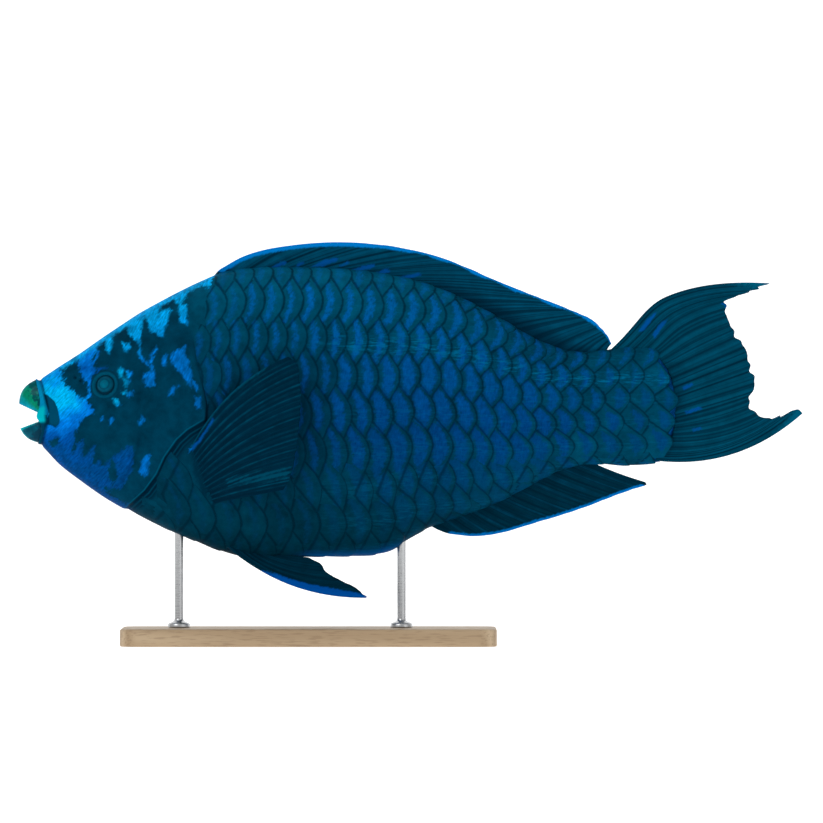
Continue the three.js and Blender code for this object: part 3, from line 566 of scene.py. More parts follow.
class Paint:
    """The shader nodes of one material or shared effect, and the steps that lay them."""

    def __init__(self, tree):
        self.tree = tree
        self.place = self.node("TexCoord").outputs["Object"]

    def node(self, kind, inputs=None, **settings):
        """Adds a node; an input is either a number or another node's output."""
        made = self.tree.nodes.new("ShaderNode" + kind)
        for key, value in settings.items():
            setattr(made, key, value)
        for key, value in (inputs or {}).items():
            if isinstance(value, bpy.types.NodeSocket):
                self.tree.links.new(value, made.inputs[key])
            else:
                made.inputs[key].default_value = value
        return made

    def field(self, name):
        return self.node("Attribute", attribute_name=name).outputs["Fac"]

    def reckon(self, operation, *values, clamp=False):
        """One step of arithmetic."""
        made = self.node("Math", dict(enumerate(values)), operation=operation, use_clamp=clamp)
        return made.outputs[0]

    def times(self, a, b):
        return self.reckon("MULTIPLY", a, b)

    def apart(self, a, b):
        """How far one number is from another."""
        return self.reckon("ABSOLUTE", self.reckon("SUBTRACT", a, b))

    def between(self, value, low, high, start=0.0, end=1.0, smooth=True):
        """Runs from start at low to end at high."""
        made = self.node("MapRange", dict(enumerate((value, low, high, start, end))),
                         interpolation_type="SMOOTHSTEP" if smooth else "LINEAR")
        return made.outputs[0]

    def noise(self, scale, detail, roughness=0.5, place=None, **more):
        """Clouds from 0 to 1 over the piece."""
        made = self.node("TexNoise", {"Vector": place or self.place, "Scale": scale,
                                      "Detail": detail, "Roughness": roughness, **more})
        return made.outputs[0]

    def stretched(self, place, **by):
        return self.node("Mapping", {"Vector": place, **by}).outputs[0]

    def drawn_out(self, angle, length):
        """The piece's places turned by an angle, then drawn out into streaks."""
        tilt = self.node("CombineXYZ", {1: angle}).outputs[0]
        return self.stretched(self.stretched(self.place, Rotation=tilt), Scale=(1, 1, length))

    def ramp(self, value, *stops):
        """Colours from the first at 0 to the last at 1, with those between at their shares."""
        made = self.node("ValToRGB", {0: value})
        stripes = made.color_ramp.elements
        stripes[0].color = stops[0]
        stripes[1].color = stops[-1]
        for share_at, colour in stops[1:-1]:
            stripes.new(share_at).color = colour
        return made.outputs[0]

    def coats(self, colour, *masked):
        """Lays colours one over another, each through its mask."""
        for mask, over in masked:
            colour = self.node("Mix", {0: mask, 6: colour, 7: over}, data_type="RGBA").outputs[2]
        return colour

    def finish(self, colour, height=None, strength=0.0, depth=0.0, rough=None):
        """Sends the colour, the relief and the roughness to the material's shader."""
        self.tree.links.new(colour, self.shader["Base Color"])
        if height is not None:
            bump = self.node("Bump", {"Height": height, "Strength": strength, "Distance": depth})
            self.tree.links.new(bump.outputs[0], self.shader["Normal"])
        if rough is not None:
            self.tree.links.new(rough, self.shader["Roughness"])
        return self.material


WET_SHINE = rgb(0.12, 0.62, 1.0)
SKIN_IOR = 1.09


def new_material(name, roughness, gloss, coat=0.0, wet=True):
    """A material's paint; a wet one shines blue, as skin does under water."""
    material = bpy.data.materials.new(name)
    material.use_nodes = True
    paint = Paint(material.node_tree)
    paint.material = material
    paint.shader = paint.tree.nodes["Principled BSDF"].inputs
    levels = {"Roughness": roughness, "Specular IOR Level": gloss, "Coat Weight": coat}
    if wet:
        levels.update({"Specular Tint": WET_SHINE, "IOR": SKIN_IOR})
    for label, value in levels.items():
        paint.shader[label].default_value = value
    return paint


def new_effect(name, given, outcome):
    """The paint of a shared effect, with its named inputs and its named results."""
    tree = bpy.data.node_groups.new(name, "ShaderNodeTree")
    for label, value in given.items():
        kind = "NodeSocketColor" if value is None else "NodeSocketFloat"
        socket = tree.interface.new_socket(label, in_out="INPUT", socket_type=kind)
        if value is not None:
            socket.default_value = value
    for label, kind in outcome.items():
        tree.interface.new_socket(label, in_out="OUTPUT", socket_type="NodeSocket" + kind)
    paint = Paint(tree)
    paint.given = tree.nodes.new("NodeGroupInput").outputs
    paint.result = tree.nodes.new("NodeGroupOutput").inputs
    return paint


def ragged_effect():
    """A patch of colour whose edge breaks up into small tongues and specks."""
    paint = new_effect("Ragged patch", {"Distance": 0, "Reach": 2.5, "Scale": 240,
                                        "Softness": 0.35}, {"Mask": "Float"})
    flecks = paint.noise(paint.given["Scale"], 4, 0.62)
    hairs = paint.noise(150, 4, 0.6, paint.drawn_out(0.9, 5))
    push = paint.reckon("SUBTRACT", paint.reckon("ADD", flecks, hairs), 1.0)
    moved = paint.reckon("MULTIPLY_ADD", push, paint.given["Reach"], paint.given["Distance"])
    soft = paint.given["Softness"]
    mask = paint.between(moved, paint.times(soft, -1), soft)
    paint.tree.links.new(mask, paint.result["Mask"])
    return paint.tree


def uneven_effect(name, more, noise_of, least):
    """An effect that makes a colour lighter and darker by a noise."""
    paint = new_effect(name, {"Colour": None, "Strength": 0.3, **more}, {"Colour": "Color"})
    even = paint.reckon("SUBTRACT", noise_of(paint), 0.5)
    gain = paint.reckon("MULTIPLY_ADD", paint.times(even, 4.0), paint.given["Strength"], 1.0)
    tint = paint.node("VectorMath", {0: paint.given["Colour"],
                                     "Scale": paint.reckon("MAXIMUM", gain, least)},
                      operation="SCALE")
    paint.tree.links.new(tint.outputs[0], paint.result["Colour"])
    return paint.tree


def flank_effect():
    """The flank's teal with painted light: lighter towards the back and darker towards the belly by
    height alone, and evener towards the tail.
    """
    paint = new_effect("Flank teal lit from above", {}, {"Colour": "Color", "Height": "Float"})
    spot = paint.node("SeparateXYZ", {0: paint.place}).outputs
    # Painted light: the teal darkens towards the belly and lightens towards the back, as light from
    # above falls.
    height = paint.between(spot["Z"], 0.07, 0.3, smooth=False)
    teal = paint.ramp(height, sea(0.031, 0.056), (0.3, sea(0.034, 0.066)),
                      (0.55, sea(0.034, 0.072)), (0.8, sea(0.052, 0.1)), sea(0.085, 0.16))
    to_tail = paint.between(spot["X"], 0.1, 0.29, smooth=False)
    teal = paint.coats(teal, (to_tail, sea(0.052, 0.1)))
    paint.tree.links.new(teal, paint.result["Colour"])
    paint.tree.links.new(height, paint.result["Height"])
    return paint.tree


ragged = ragged_effect()
mottled = uneven_effect("Mottled skin", {"Scale": 60},
                        lambda paint: paint.noise(paint.given["Scale"], 5, 0.6), 0.2)
scratchy = uneven_effect("Streaked skin", {"Angle": 0.9}, lambda paint: paint.noise(
    190, 5, 0.65, paint.drawn_out(paint.given["Angle"], 5)), 0.25)
flank_teal_lit = flank_effect()


def patch(paint, distance, reach, scale, softness):
    return paint.node("Group", {"Distance": distance, "Reach": reach, "Scale": scale,
                                "Softness": softness}, node_tree=ragged).outputs[0]


def clouded(paint, colour, scale, strength):
    return paint.node("Group", {"Colour": colour, "Scale": scale, "Strength": strength},
                      node_tree=mottled).outputs[0]


def streaked(paint, colour, angle, strength):
    return paint.node("Group", {"Colour": colour, "Angle": angle, "Strength": strength},
                      node_tree=scratchy).outputs[0]


def skin_material():
    paint = new_material("painted_skin", 0.42, 0.14)
    field, times, between, coats = paint.field, paint.times, paint.between, paint.coats
    gill, membrane_at, eye_ring_at = field("gill"), field("membrane"), field("eyering")

    def gill_line(at, half, strength, where):
        """A line of paint that follows the gill cover's edge, at millimetres in front of it."""
        return times(between(paint.apart(gill, at), 0, half, strength, 0), where)

    cloudy = paint.reckon("SUBTRACT", paint.noise(70, 4), 0.5)
    # Cyan at the snout and the head's top: partly its own colour, partly painted highlight.
    snout_blue = paint.ramp(
        paint.reckon("MULTIPLY_ADD", cloudy, 0.8, field("snout")), sea(0.05, 0.19),
        (0.25, sea(0.07, 0.32)), (0.6, sea(0.16, 0.62)), (0.82, sea(0.28, 0.78)),
        sea(0.44, 0.86))
    # The flank's teal, with its painted light from above.
    teal = paint.node("Group", node_tree=flank_teal_lit).outputs["Colour"]
    gloomy = coats(sea(0.036, 0.073), (field("behind"), teal))
    # The blue patches run lighter near the back and darker lower down: partly their own colour,
    # partly painted light from above.
    blue_by_depth_and_light = paint.ramp(between(field("depth"), 0, 130), sea(0.36, 0.80),
                          (0.22, sea(0.17, 0.62)), sea(0.12, 0.45))
    by_eye = between(eye_ring_at, 16, 24, 0.8, 0)
    blues = streaked(paint, coats(blue_by_depth_and_light, (by_eye, sea(0.34, 0.62))), 1.1, 0.6)
    blue_mask = times(patch(paint, field("blue"), 5.0, 300, 1.5),
                      between(paint.noise(110, 4), 0.36, 0.56, 0.62, 1))
    eye_skin = between(eye_ring_at, 9.6, 11.6, 1, 0)
    # Painted shade in the fold round the lid.
    eye_fold_shade = between(paint.apart(eye_ring_at, 11.6), 0, 0.9, 0.6, 0)
    lips = between(field("lip"), 0.2, 0.6)
    upper_lip = paint.reckon("SUBTRACT", lips, field("below"), clamp=True)
    # Painted shade: the inside of the mouth is near black, less so at the corner webs.
    mouth = between(field("lip"), -0.6, -0.2, 1, 0)
    throat_shade = paint.reckon("SUBTRACT", mouth, times(field("web"), 0.6), clamp=True)
    finroot = patch(paint, field("finroot"), 4.0, 200, 2.2)
    shaded = times(between(gill, -11, -6, 0, 0.8), between(gill, -0.8, 0.5, 1, 0))
    shaded = paint.reckon("MAXIMUM", times(shaded, membrane_at),
                          gill_line(-1.0, 1.7, 0.8, field("gilled")))
    pleats = paint.reckon("MAXIMUM", gill_line(-3.6, 1.1, 0.9, membrane_at),
                          gill_line(-6.6, 1.1, 0.6, membrane_at))
    colour = coats(
        streaked(paint, snout_blue, 0.8, 0.55),
        (patch(paint, field("leaf"), 0.8, 300, 0.4), sea(0.06, 0.124)),
        (patch(paint, field("dark"), 7.0, 240, 1.2), clouded(paint, gloomy, 85, 0.4)),
        (blue_mask, blues),
        (times(eye_skin, 0.85), sea(0.075, 0.14)),
        (eye_fold_shade, sea(0.03, 0.06)),
        (times(upper_lip, 0.85), sea(0.19, 0.36)),
        (times(lips, field("below")), sea(0.04, 0.085)),
        (field("web"), sea(0.42, 0.50)),
        (throat_shade, sea(0.012, 0.022)),
        # painted shade in the grooves and nostril pits
        (times(field("groove"), 0.85), sea(0.01, 0.025)),
        (times(finroot, 0.9), sea(0.02, 0.042)),
        (shaded, sea(0.009, 0.023)),
        (pleats, sea(0.045, 0.085)),
        (gill_line(0.8, 0.9, 0.6, membrane_at), sea(0.11, 0.2)),
    )
    creases = paint.noise(150, 4)
    grain = paint.reckon("MULTIPLY_ADD", paint.noise(900, 3), 0.35, creases)
    raised = times(between(gill, -1.6, 0.4), field("gilled"))
    raised = paint.reckon("MULTIPLY_ADD", raised, 2.2, pleats)
    return paint.finish(colour, paint.reckon("ADD", grain, raised), 0.4, 0.0009,
                        between(creases, 0.3, 0.7, 0.36, 0.52))


show_piece("skin", skin, skin_material(), "skin",
           "head", "gill_cover_left", "gill_cover_right", "trunk", "tail_stalk")


# The scales: large overlapping plates in eighteen rows round the body, each sunk in front under
# its neighbours and rolled down at its free rear edge. They follow the rows of the photograph:
# nine to a side, upright on the flank, slanting back on the belly, and fewer on the tail stalk.
ROWS_A_SIDE = 9
COLUMNS = range(-5, 24)
SCALE_TIPS = through([(-5, 74), (0, 148), (7, 255.2), (10, 304.8), (14, 371), (19, 451.2),
                      (21, 488.8), (23, 530), (24, 556)])
BELLY_TIPS = through([(-5, 0), (0, 99), (4, 179.2), (10, 302), (15, 378.4), (19, 447),
                      (21, 488), (23, 530), (24, 556)])
ROW_CENTRE = 0.45
ROW_SHIFT = (-5, 3.8, -8.5, 0, -4.8, -6.5, 0, -1, 7)
ROW_SLANT = (-3, -4, -1, 0, 3.9, 6.2, 9, 6, 2)
ROW_BELLY = (0, 0, 0, 0, 0, 0.2, 1, 1, 1)
ROW_BLUE = (0.45, 0.85, 0.9, 0.95, 1.0, 0.95, 0.55, 0.35, 0.2)
WIDE_BARS = (2.8, 2.8, 3.6, 5.0, 5.8)
ROW_SPREAD = through([(20, 1), (300, 1), (368, 1.15), (420, 1.38), (465, 1.55), (540, 1.6)])
SPREAD_FROM = 2.6
SCALE_PROUD = 1.7
SCALE_DOME = 0.45
SCALE_REACH = 0.85
SCALE_BOW = 18.0
SCALE_FLAT = 0.2
SCALE_GRID = 10
SCALE_THICK = 1.5
SCALE_COVER = 1.35
SCALE_MIDDLE = 8.0
PECTORAL_SKIN = from_photo((176, 446), (196, 432), (216, 428), (220, 498), (206, 502), (190, 488))

# The turn of each row's share of the way down the flank, at steps along the fish.
ROWS_FROM, ROWS_TO = 30, 534.8
ROW_STATIONS = 160
ROW_STEPS = 181
share_steps = np.linspace(0, math.pi, 241)
station_steps = np.linspace(ROWS_FROM, ROWS_TO, ROW_STATIONS)
station_grid, turn_grid = np.meshgrid(station_steps, share_steps, indexing="ij")
row_side, row_high = section(station_grid, turn_grid)
run = np.zeros_like(row_side)
run[:, 1:] = np.cumsum(np.hypot(np.diff(row_side, axis=1), np.diff(row_high, axis=1)), axis=1)
row_shares = np.linspace(0, 1, ROW_STEPS)
row_turns = np.array([np.interp(row_shares * r[-1], r, share_steps) for r in run])


def turn_of_row(at_along, row):
    """The turn at which a row of scales lies, from 0 at the back to 9 at the belly."""
    row = SPREAD_FROM + (row + ROW_CENTRE - SPREAD_FROM) * ROW_SPREAD(at_along)
    over_belly = row > ROWS_A_SIDE
    beyond = np.where(row < 0, -row, np.where(over_belly, 2 * ROWS_A_SIDE - row, row))
    a = (at_along - ROWS_FROM) / (ROWS_TO - ROWS_FROM) * (ROW_STATIONS - 1)
    a = np.clip(a, 0, ROW_STATIONS - 1.001)
    b = np.clip(beyond / ROWS_A_SIDE * (ROW_STEPS - 1), 0, ROW_STEPS - 1.001)
    i, j = a.astype(int), b.astype(int)
    upper = partway(row_turns[i, j], row_turns[i + 1, j], a - i)
    lower = partway(row_turns[i, j + 1], row_turns[i + 1, j + 1], a - i)
    found = partway(upper, lower, b - j)
    return np.where(row < 0, -found, np.where(over_belly, 2 * math.pi - found, found)), row


def scale_tip(column, row):
    """Where the rear tip of a scale lies, and how far it is from the one in front of it."""
    row = max(0, min(ROWS_A_SIDE - 1, row))
    columns = np.array([column - 1.0, column])
    tips = partway(SCALE_TIPS(columns), BELLY_TIPS(columns), ROW_BELLY[row])
    return tips[1] + ROW_SHIFT[row], tips[1] - tips[0]


def scale_margin(column, row, v):
    """The rear margin of a scale, v rows below its middle."""
    tip, _ = scale_tip(column, row)
    past_flat = np.abs(v) - SCALE_FLAT
    drop = (past_flat + np.sqrt(past_flat**2 + 0.012)) / 2
    return tip + ROW_SLANT[max(0, min(ROWS_A_SIDE - 1, row))] * v - SCALE_BOW * drop


def past_neighbour(x, tip, column, row, v):
    """How far x lies behind the scale of a row that covers the front of this one."""
    in_front = [c for c in range(column - 2, column + 3) if scale_tip(c, row)[0] < tip - 0.5]
    return x - scale_margin(max(in_front), row, v)


def unit_scale():
    """One scale as a flat lid with its edge turned down and closed underneath."""
    lid = bmesh.new()
    bmesh.ops.create_grid(lid, x_segments=SCALE_GRID, y_segments=SCALE_GRID, size=1)
    rim_edges = [e for e in lid.edges if e.is_boundary]
    wall = bmesh.ops.extrude_edge_only(lid, edges=rim_edges)["geom"]
    feet = [v for v in wall if isinstance(v, bmesh.types.BMVert)]
    bmesh.ops.translate(lid, verts=feet, vec=(0, 0, -1))
    bmesh.ops.holes_fill(lid, edges=[e for e in lid.edges if e.is_boundary])
    bmesh.ops.recalc_face_normals(lid, faces=lid.faces)
    mesh = bpy.data.meshes.new("one_scale")
    lid.to_mesh(mesh)
    lid.free()
    return mesh


# Each scale has a cell of its own in the unwrap: columns along the fish, rows round it.
CELL_WIDE = 1 / 30
CELL_HIGH = 1 / (2 * ROWS_A_SIDE)
one_scale = unit_scale()
corner_count = len(one_scale.vertices)
unit = np.zeros(corner_count * 3)
one_scale.vertices.foreach_get("co", unit)
unit = unit.reshape(-1, 3)
chance = np.random.default_rng(11)
scales = bmesh.new()
cells, scale_places = [], []
fields = {}
for row in range(ROWS_A_SIDE):
    for column in COLUMNS:
        tip, pitch = scale_tip(column, row)
        centre_turn, centre_row = turn_of_row(np.array(tip - SCALE_MIDDLE), row)
        _, centre_high = section(tip - SCALE_MIDDLE, centre_turn)
        limit = stalk_end(centre_high)
        if not -0.45 < centre_row < 9.4 or tip > limit + 0.45 * pitch:
            continue
        from_gill = -float(beside(GILL_EDGE, np.array(tip - pitch * 0.6), centre_high))
        if from_gill < (2 if centre_high > 20 else 11):
            continue
        if inside(PECTORAL_SKIN, np.array(tip - 9.0), centre_high) > 0:
            continue
        pull = min(0.0, limit - tip)
        size = (1 - 0.35 * ease(tip, 380, 520)) * partway(0.45, 1, ease(from_gill, 0, 34))
        jog, tilt = chance.normal(0, 0.2), chance.normal(0, 0.07)
        v = unit[:, 1] * SCALE_REACH
        margin = scale_margin(column, row, v) + jog + pull
        front = np.minimum(tip - SCALE_COVER * pitch, margin - 2)
        x = partway(margin, front, ((1 - unit[:, 0]) / 2) ** 1.4)
        ahead = margin - x
        from_tip = tip + jog + pull - x
        lift = SCALE_PROUD * size * (1 - from_tip / (2 * pitch)) - SCALE_DOME * size * v**2
        lift -= 0.5 * size * np.exp(-ahead / 0.9)
        lift += tilt * v + unit[:, 2] * SCALE_THICK
        turns, share_down = turn_of_row(x, row + v)
        keel = ease(share_down, 8.3, 8.8) * ease(x, 215, 240) * (1 - ease(x, 292, 312))
        plate_side, plate_high = section(x, turns, lift - SCALE_BED)
        thinning = np.sqrt(np.maximum(0.02, 1 - np.clip((x - THINS_FROM) / 24, 0, 1) ** 2))
        wide_bar = partway(2.2, WIDE_BARS[min(row, 4)], ease(tip, 225, 320))
        wide_bar *= (1 - 0.25 * ease(tip, 400, 480)) * chance.uniform(0.8, 1.15)
        rim = partway(7.4, 4.0, ease(tip, 235, 300) if row > 1 else ease(tip, 290, 380))
        straight = partway(ahead, from_tip + ROW_SLANT[row] * v, 0.35)
        pale_line = bell(v, 0.1, 0.3) * ease(tip, 225, 290) * (1.0 if row == 2 else 0.25)
        bar_high = partway(0.8, 0.5, ease(tip, 400, 480))
        bar = wide_bar * np.sqrt(np.maximum(0.0, 1 - (v / bar_high) ** 2))
        bar -= np.abs(straight - rim - wide_bar)
        strength = ROW_BLUE[row] * partway(0.55, 1, ease(tip, 150, 240))
        strength *= 1 - 0.35 * ease(tip, 430, 520)
        for mirror in (1, -1):
            scale_places.append(in_frame(x, plate_side * thinning * mirror, plate_high))
            scales.from_mesh(one_scale)
            cell_row = row if mirror > 0 else row + ROWS_A_SIDE
            cells.append(((column - COLUMNS[0]) * CELL_WIDE, cell_row * CELL_HIGH))
            found = {
                "ahead": ahead, "next": past_neighbour(x, tip, column, row, v),
                "under": past_neighbour(x, tip, column, row + 1, v - 1),
                "over": past_neighbour(x, tip, column, row - 1, v + 1),
                "core": bar, "keel": keel, "pale": pale_line,
                "tone": np.full(corner_count, chance.uniform(0, 1)),
                "bluish": np.full(corner_count, strength + chance.normal(0, 0.08)).clip(0, 1.1),
            }
            for name, values in found.items():
                fields.setdefault(name, []).append(values)
set_places(scales, np.concatenate(scale_places))
set_fields(scales, **{name: np.concatenate(values) for name, values in fields.items()})
unwrap = scales.loops.layers.uv.new("OFBake")
cell_of = np.repeat(np.array(cells), corner_count, axis=0)
unit_of = np.tile(unit, (len(cells), 1))
spread = np.where(unit_of[:, 2] < -0.5, 0.94, 0.84)
spots = (unit_of[:, :2] * spread[:, None] + 1) / 2 * np.array([CELL_WIDE, CELL_HIGH]) + cell_of
scales.verts.index_update()
for face in scales.faces:
    for loop in face.loops:
        i = loop.vert.index
        loop[unwrap].uv = spots[i] if len(face.verts) == 4 else cell_of[i] + 0.0004
bmesh.ops.recalc_face_normals(scales, faces=scales.faces)
bpy.data.meshes.remove(one_scale)


def scale_material():
    paint = new_material("scale_enamel", 0.42, 0.14)
    field, times, between = paint.field, paint.times, paint.between
    # The flank's teal, with its painted light from above, and its height share.
    flank = paint.node("Group", node_tree=flank_teal_lit).outputs
    tone = between(field("tone"), 0, 1, 0.85, 1.15, smooth=False)
    toned = paint.node("VectorMath", {0: flank["Colour"], "Scale": tone}, operation="SCALE")
    core = paint.reckon("MULTIPLY", patch(paint, field("core"), 6.5, 300, 2.0),
                        field("bluish"), clamp=True)
    # Painted light: the scale cores' blue is lighter high on the flank and darker towards the belly.
    blue_lit_from_above = paint.ramp(flank["Height"], sea(0.042, 0.11), (0.45, sea(0.044, 0.18)),
                       (0.7, sea(0.072, 0.27)), sea(0.12, 0.41))
    streaks = streaked(paint, clouded(paint, blue_lit_from_above, 300, 0.25), 1.45, 0.22)
    scratches = between(paint.noise(110, 4, 0.6, paint.drawn_out(0, 6)), 0.45, 0.65, 0, 0.8)
    # Dark lines round each scale: partly the dark seam between scales, partly painted shadow at the
    # plate's own rolled rear rim and along the margins of the plates that overlap it.
    seam_and_shadow = times(paint.reckon("MINIMUM", field("under"), field("over")), 0.75)
    seam_and_shadow = paint.reckon("MINIMUM", seam_and_shadow, field("next"))
    wander = paint.reckon("MULTIPLY_ADD", paint.noise(260, 3), 1.6, -0.8)
    pale = paint.reckon("ADD", paint.reckon("MINIMUM", seam_and_shadow, field("ahead")), wander)
    off_seam = paint.reckon("ABSOLUTE", paint.reckon("ADD", seam_and_shadow, wander))
    inner = between(off_seam, 0.2, 1.8, 0.68, 0)
    outer = between(paint.reckon("ADD", field("ahead"), wander), 0.0, 1.4, 0.68, 0)
    colour = paint.coats(
        clouded(paint, toned.outputs[0], 110, 0.32),
        (core, streaks),
        (times(scratches, field("pale")), sea(0.14, 0.30)),
        (between(paint.apart(pale, 2.0), 0, 1.2, 0.35, 0), flank["Colour"]),
        # the dark seams, with their painted shadow
        (paint.reckon("MAXIMUM", inner, outer), sea(0.014, 0.03)),
        (field("keel"), sea(0.10, 0.38)),
    )
    growth = paint.noise(170, 4)
    rings = paint.reckon("MULTIPLY_ADD", paint.noise(700, 2), 0.4, growth)
    return paint.finish(colour, rings, 0.5, 0.0006, between(growth, 0.3, 0.7, 0.36, 0.52))


show_piece("scales", scales, scale_material(), "skin", "trunk", "tail_stalk", crease=50)

# The beak: two plates of fused teeth that grow out of the gums, with the fine ribs of the tooth
# rows over them, a groove down the middle and a worn cutting edge.
BEAK_THICK = 3.4
EDGE_THICK = 1.8
RIBS_A_SIDE = 22
RIB_PROUD = 0.1
SCALLOP_DEEP = 0.42
MIDDLE_GROOVE = 0.6
JAW_HEART = (24.0, 0.0, -5.2)


def jaw_point(jaw, round_jaw, to_edge):
    """A place on a jaw: round from -1 to 1 between the mouth corners, and down from the gum."""
    angle = round_jaw * math.pi / 2
    back = 1 - np.cos(angle)
    bent = [
        (1 - to_edge) ** 2 * g + 2 * to_edge * (1 - to_edge) * m + to_edge**2 * e
        for g, m, e in zip(*(jaw_line(jaw, part, back) for part in ("gum", "belly", "edge")))
    ]
    half = partway(jaw["gum_half"], jaw["edge_half"], to_edge)
    return np.stack([bent[0], half * np.sin(angle), bent[1]], -1)


def closed_shell(sheet, outer, inner):
    """Gives a sheet its second side: outer and inner say where its corners lie on each."""
    number = sheet.verts.layers.int.new("number")
    for i, corner in enumerate(sheet.verts):
        corner[number] = i
    made = bmesh.ops.extrude_face_region(sheet, geom=sheet.faces[:], use_keep_orig=True)
    copies = {v for v in made["geom"] if isinstance(v, bmesh.types.BMVert)}
    for corner in sheet.verts:
        corner.co = (inner if corner in copies else outer)[corner[number]]
    sheet.verts.layers.int.remove(number)
    bmesh.ops.recalc_face_normals(sheet, faces=sheet.faces)


def beak_sheet(jaw, jaw_way):
    """One plate; jaw_way is 1 for the upper jaw and -1 for the lower one."""
    sheet, round_share, to_edge = grid_sheet(110, 26)
    round_jaw = round_share * 2 - 1
    place = jaw_point(jaw, round_jaw, to_edge)
    inward = unit_vectors(JAW_HEART + np.array([0, 0, jaw_way * 2]) - place)
    ribs = RIB_PROUD * np.cos(round_jaw * math.pi * RIBS_A_SIDE) * ease(to_edge, 0.15, 0.5)
    scallops = np.abs(np.cos(round_jaw * math.pi * RIBS_A_SIDE / 2)) * ease(to_edge, 0.82, 1.0)
    groove = MIDDLE_GROOVE * bell(round_jaw, 0, 0.03)
    outer = place + inward * (ribs + groove)[:, None]
    inner = place + inward * partway(BEAK_THICK, EDGE_THICK, to_edge)[:, None]
    for side_of_plate in (outer, inner):
        side_of_plate[:, 2] += jaw_way * scallops * SCALLOP_DEEP
    set_fields(sheet, toedge=to_edge, round=round_jaw)
    closed_shell(sheet, in_frame(*outer.T), in_frame(*inner.T))
    return sheet


def beak_material(name, root, mid, edge, blotch, edge_from):
    """Enamel that runs from its root colour to its edge colour, with stains near the gum."""
    paint = new_material(name, 0.34, 0.5, 0.08)
    to_edge, between = paint.field("toedge"), paint.between
    enamel = paint.ramp(to_edge, root, (0.4, mid), (edge_from, mid), edge)
    profile_rim = between(paint.reckon("ABSOLUTE", paint.field("round")), 0.05, 0.3, 0.75, 0)
    colour = clouded(paint, paint.coats(enamel, (profile_rim, edge)), 200, 0.5)
    near_gum = between(to_edge, 0.1, 0.7, 0.13, -0.16)
    stain = paint.reckon("ADD", paint.noise(330, 3, 0.6), near_gum)
    colour = paint.coats(colour, (between(stain, 0.47, 0.58, 0, 0.85), blotch))
    return paint.finish(colour, paint.noise(500, 3), 0.3, 0.0004)


upper_enamel = beak_material("upper_beak_enamel", sea(0.15, 0.13), sea(0.23, 0.13),
                             sea(0.27, 0.42), sea(0.055, 0.075), 0.62)
lower_enamel = beak_material("lower_beak_enamel", sea(0.05, 0.09), sea(0.075, 0.12),
                             sea(0.45, 0.52), sea(0.03, 0.06), 0.86)
show_piece("beak_upper_plate", beak_sheet(UPPER_JAW, 1), upper_enamel, "beak", "beak_upper")
show_piece("beak_lower_plate", beak_sheet(LOWER_JAW, -1), lower_enamel, "beak", "beak_lower")

# The eyes: glass balls, painted behind the cornea with a teal iris, a dark ring and a paler
# pupil, set in the sockets of the skin.
EYE_RADIUS = 11.2
CORNEA_BULGE = 0.035
LOW_FRONT_SHADE = 0.8


def eye_material():
    paint = new_material("eye_glass", 0.3, 0.4, 0.02)
    paint.shader["Coat Roughness"].default_value = 0.08
    rings = paint.ramp(
        paint.times(paint.field("offaxis"), 0.1), sea(0.125, 0.21),
        (0.30, sea(0.10, 0.17)), (0.38, sea(0.05, 0.095)), (0.43, sea(0.055, 0.10)),
        (0.49, sea(0.072, 0.13)), (0.62, sea(0.055, 0.10)), (0.70, sea(0.018, 0.036)),
        sea(0.035, 0.07))
    return paint.finish(clouded(paint, rings, 330, 0.18))


eye_glass = eye_material()
for eye_name, (centre, outward) in zip(("eye_left", "eye_right"), eye_axes):
    ball = bmesh.new()
    bmesh.ops.create_uvsphere(ball, u_segments=72, v_segments=56, radius=1)
    unit_ball = np.array([v.co[:] for v in ball.verts])
    across_axis = unit_vectors(np.cross(outward, [0, 0, 1.0]))
    third = np.cross(outward, across_axis)
    bulge = 1 + CORNEA_BULGE * np.maximum(0, unit_ball[:, 2] - 0.8) / 0.2
    turned = (
        unit_ball[:, :1] * across_axis + unit_ball[:, 1:2] * third + unit_ball[:, 2:] * outward
    )
    spot = centre + turned * EYE_RADIUS * bulge[:, None]
    low_front = np.clip((-turned[:, 0] - turned[:, 2]) * 1.6, -1, 1)
    off_axis = np.hypot(unit_ball[:, 0], unit_ball[:, 1]) * (EYE_RADIUS + LOW_FRONT_SHADE * low_front)
    set_fields(ball, offaxis=np.where(unit_ball[:, 2] > 0, off_axis, 12.0))
    set_places(ball, in_frame(*spot.T))
    bmesh.ops.recalc_face_normals(ball, faces=ball.faces)
    show_piece(eye_name + "_ball", ball, eye_glass, "eyes", eye_name)

# The fins: thin webs of skin stretched over bony rays. Each ray stands up on both faces and
# splits towards the margin, where the web thins to an edge.
BURIED = 3.5
PER_RAY = 10


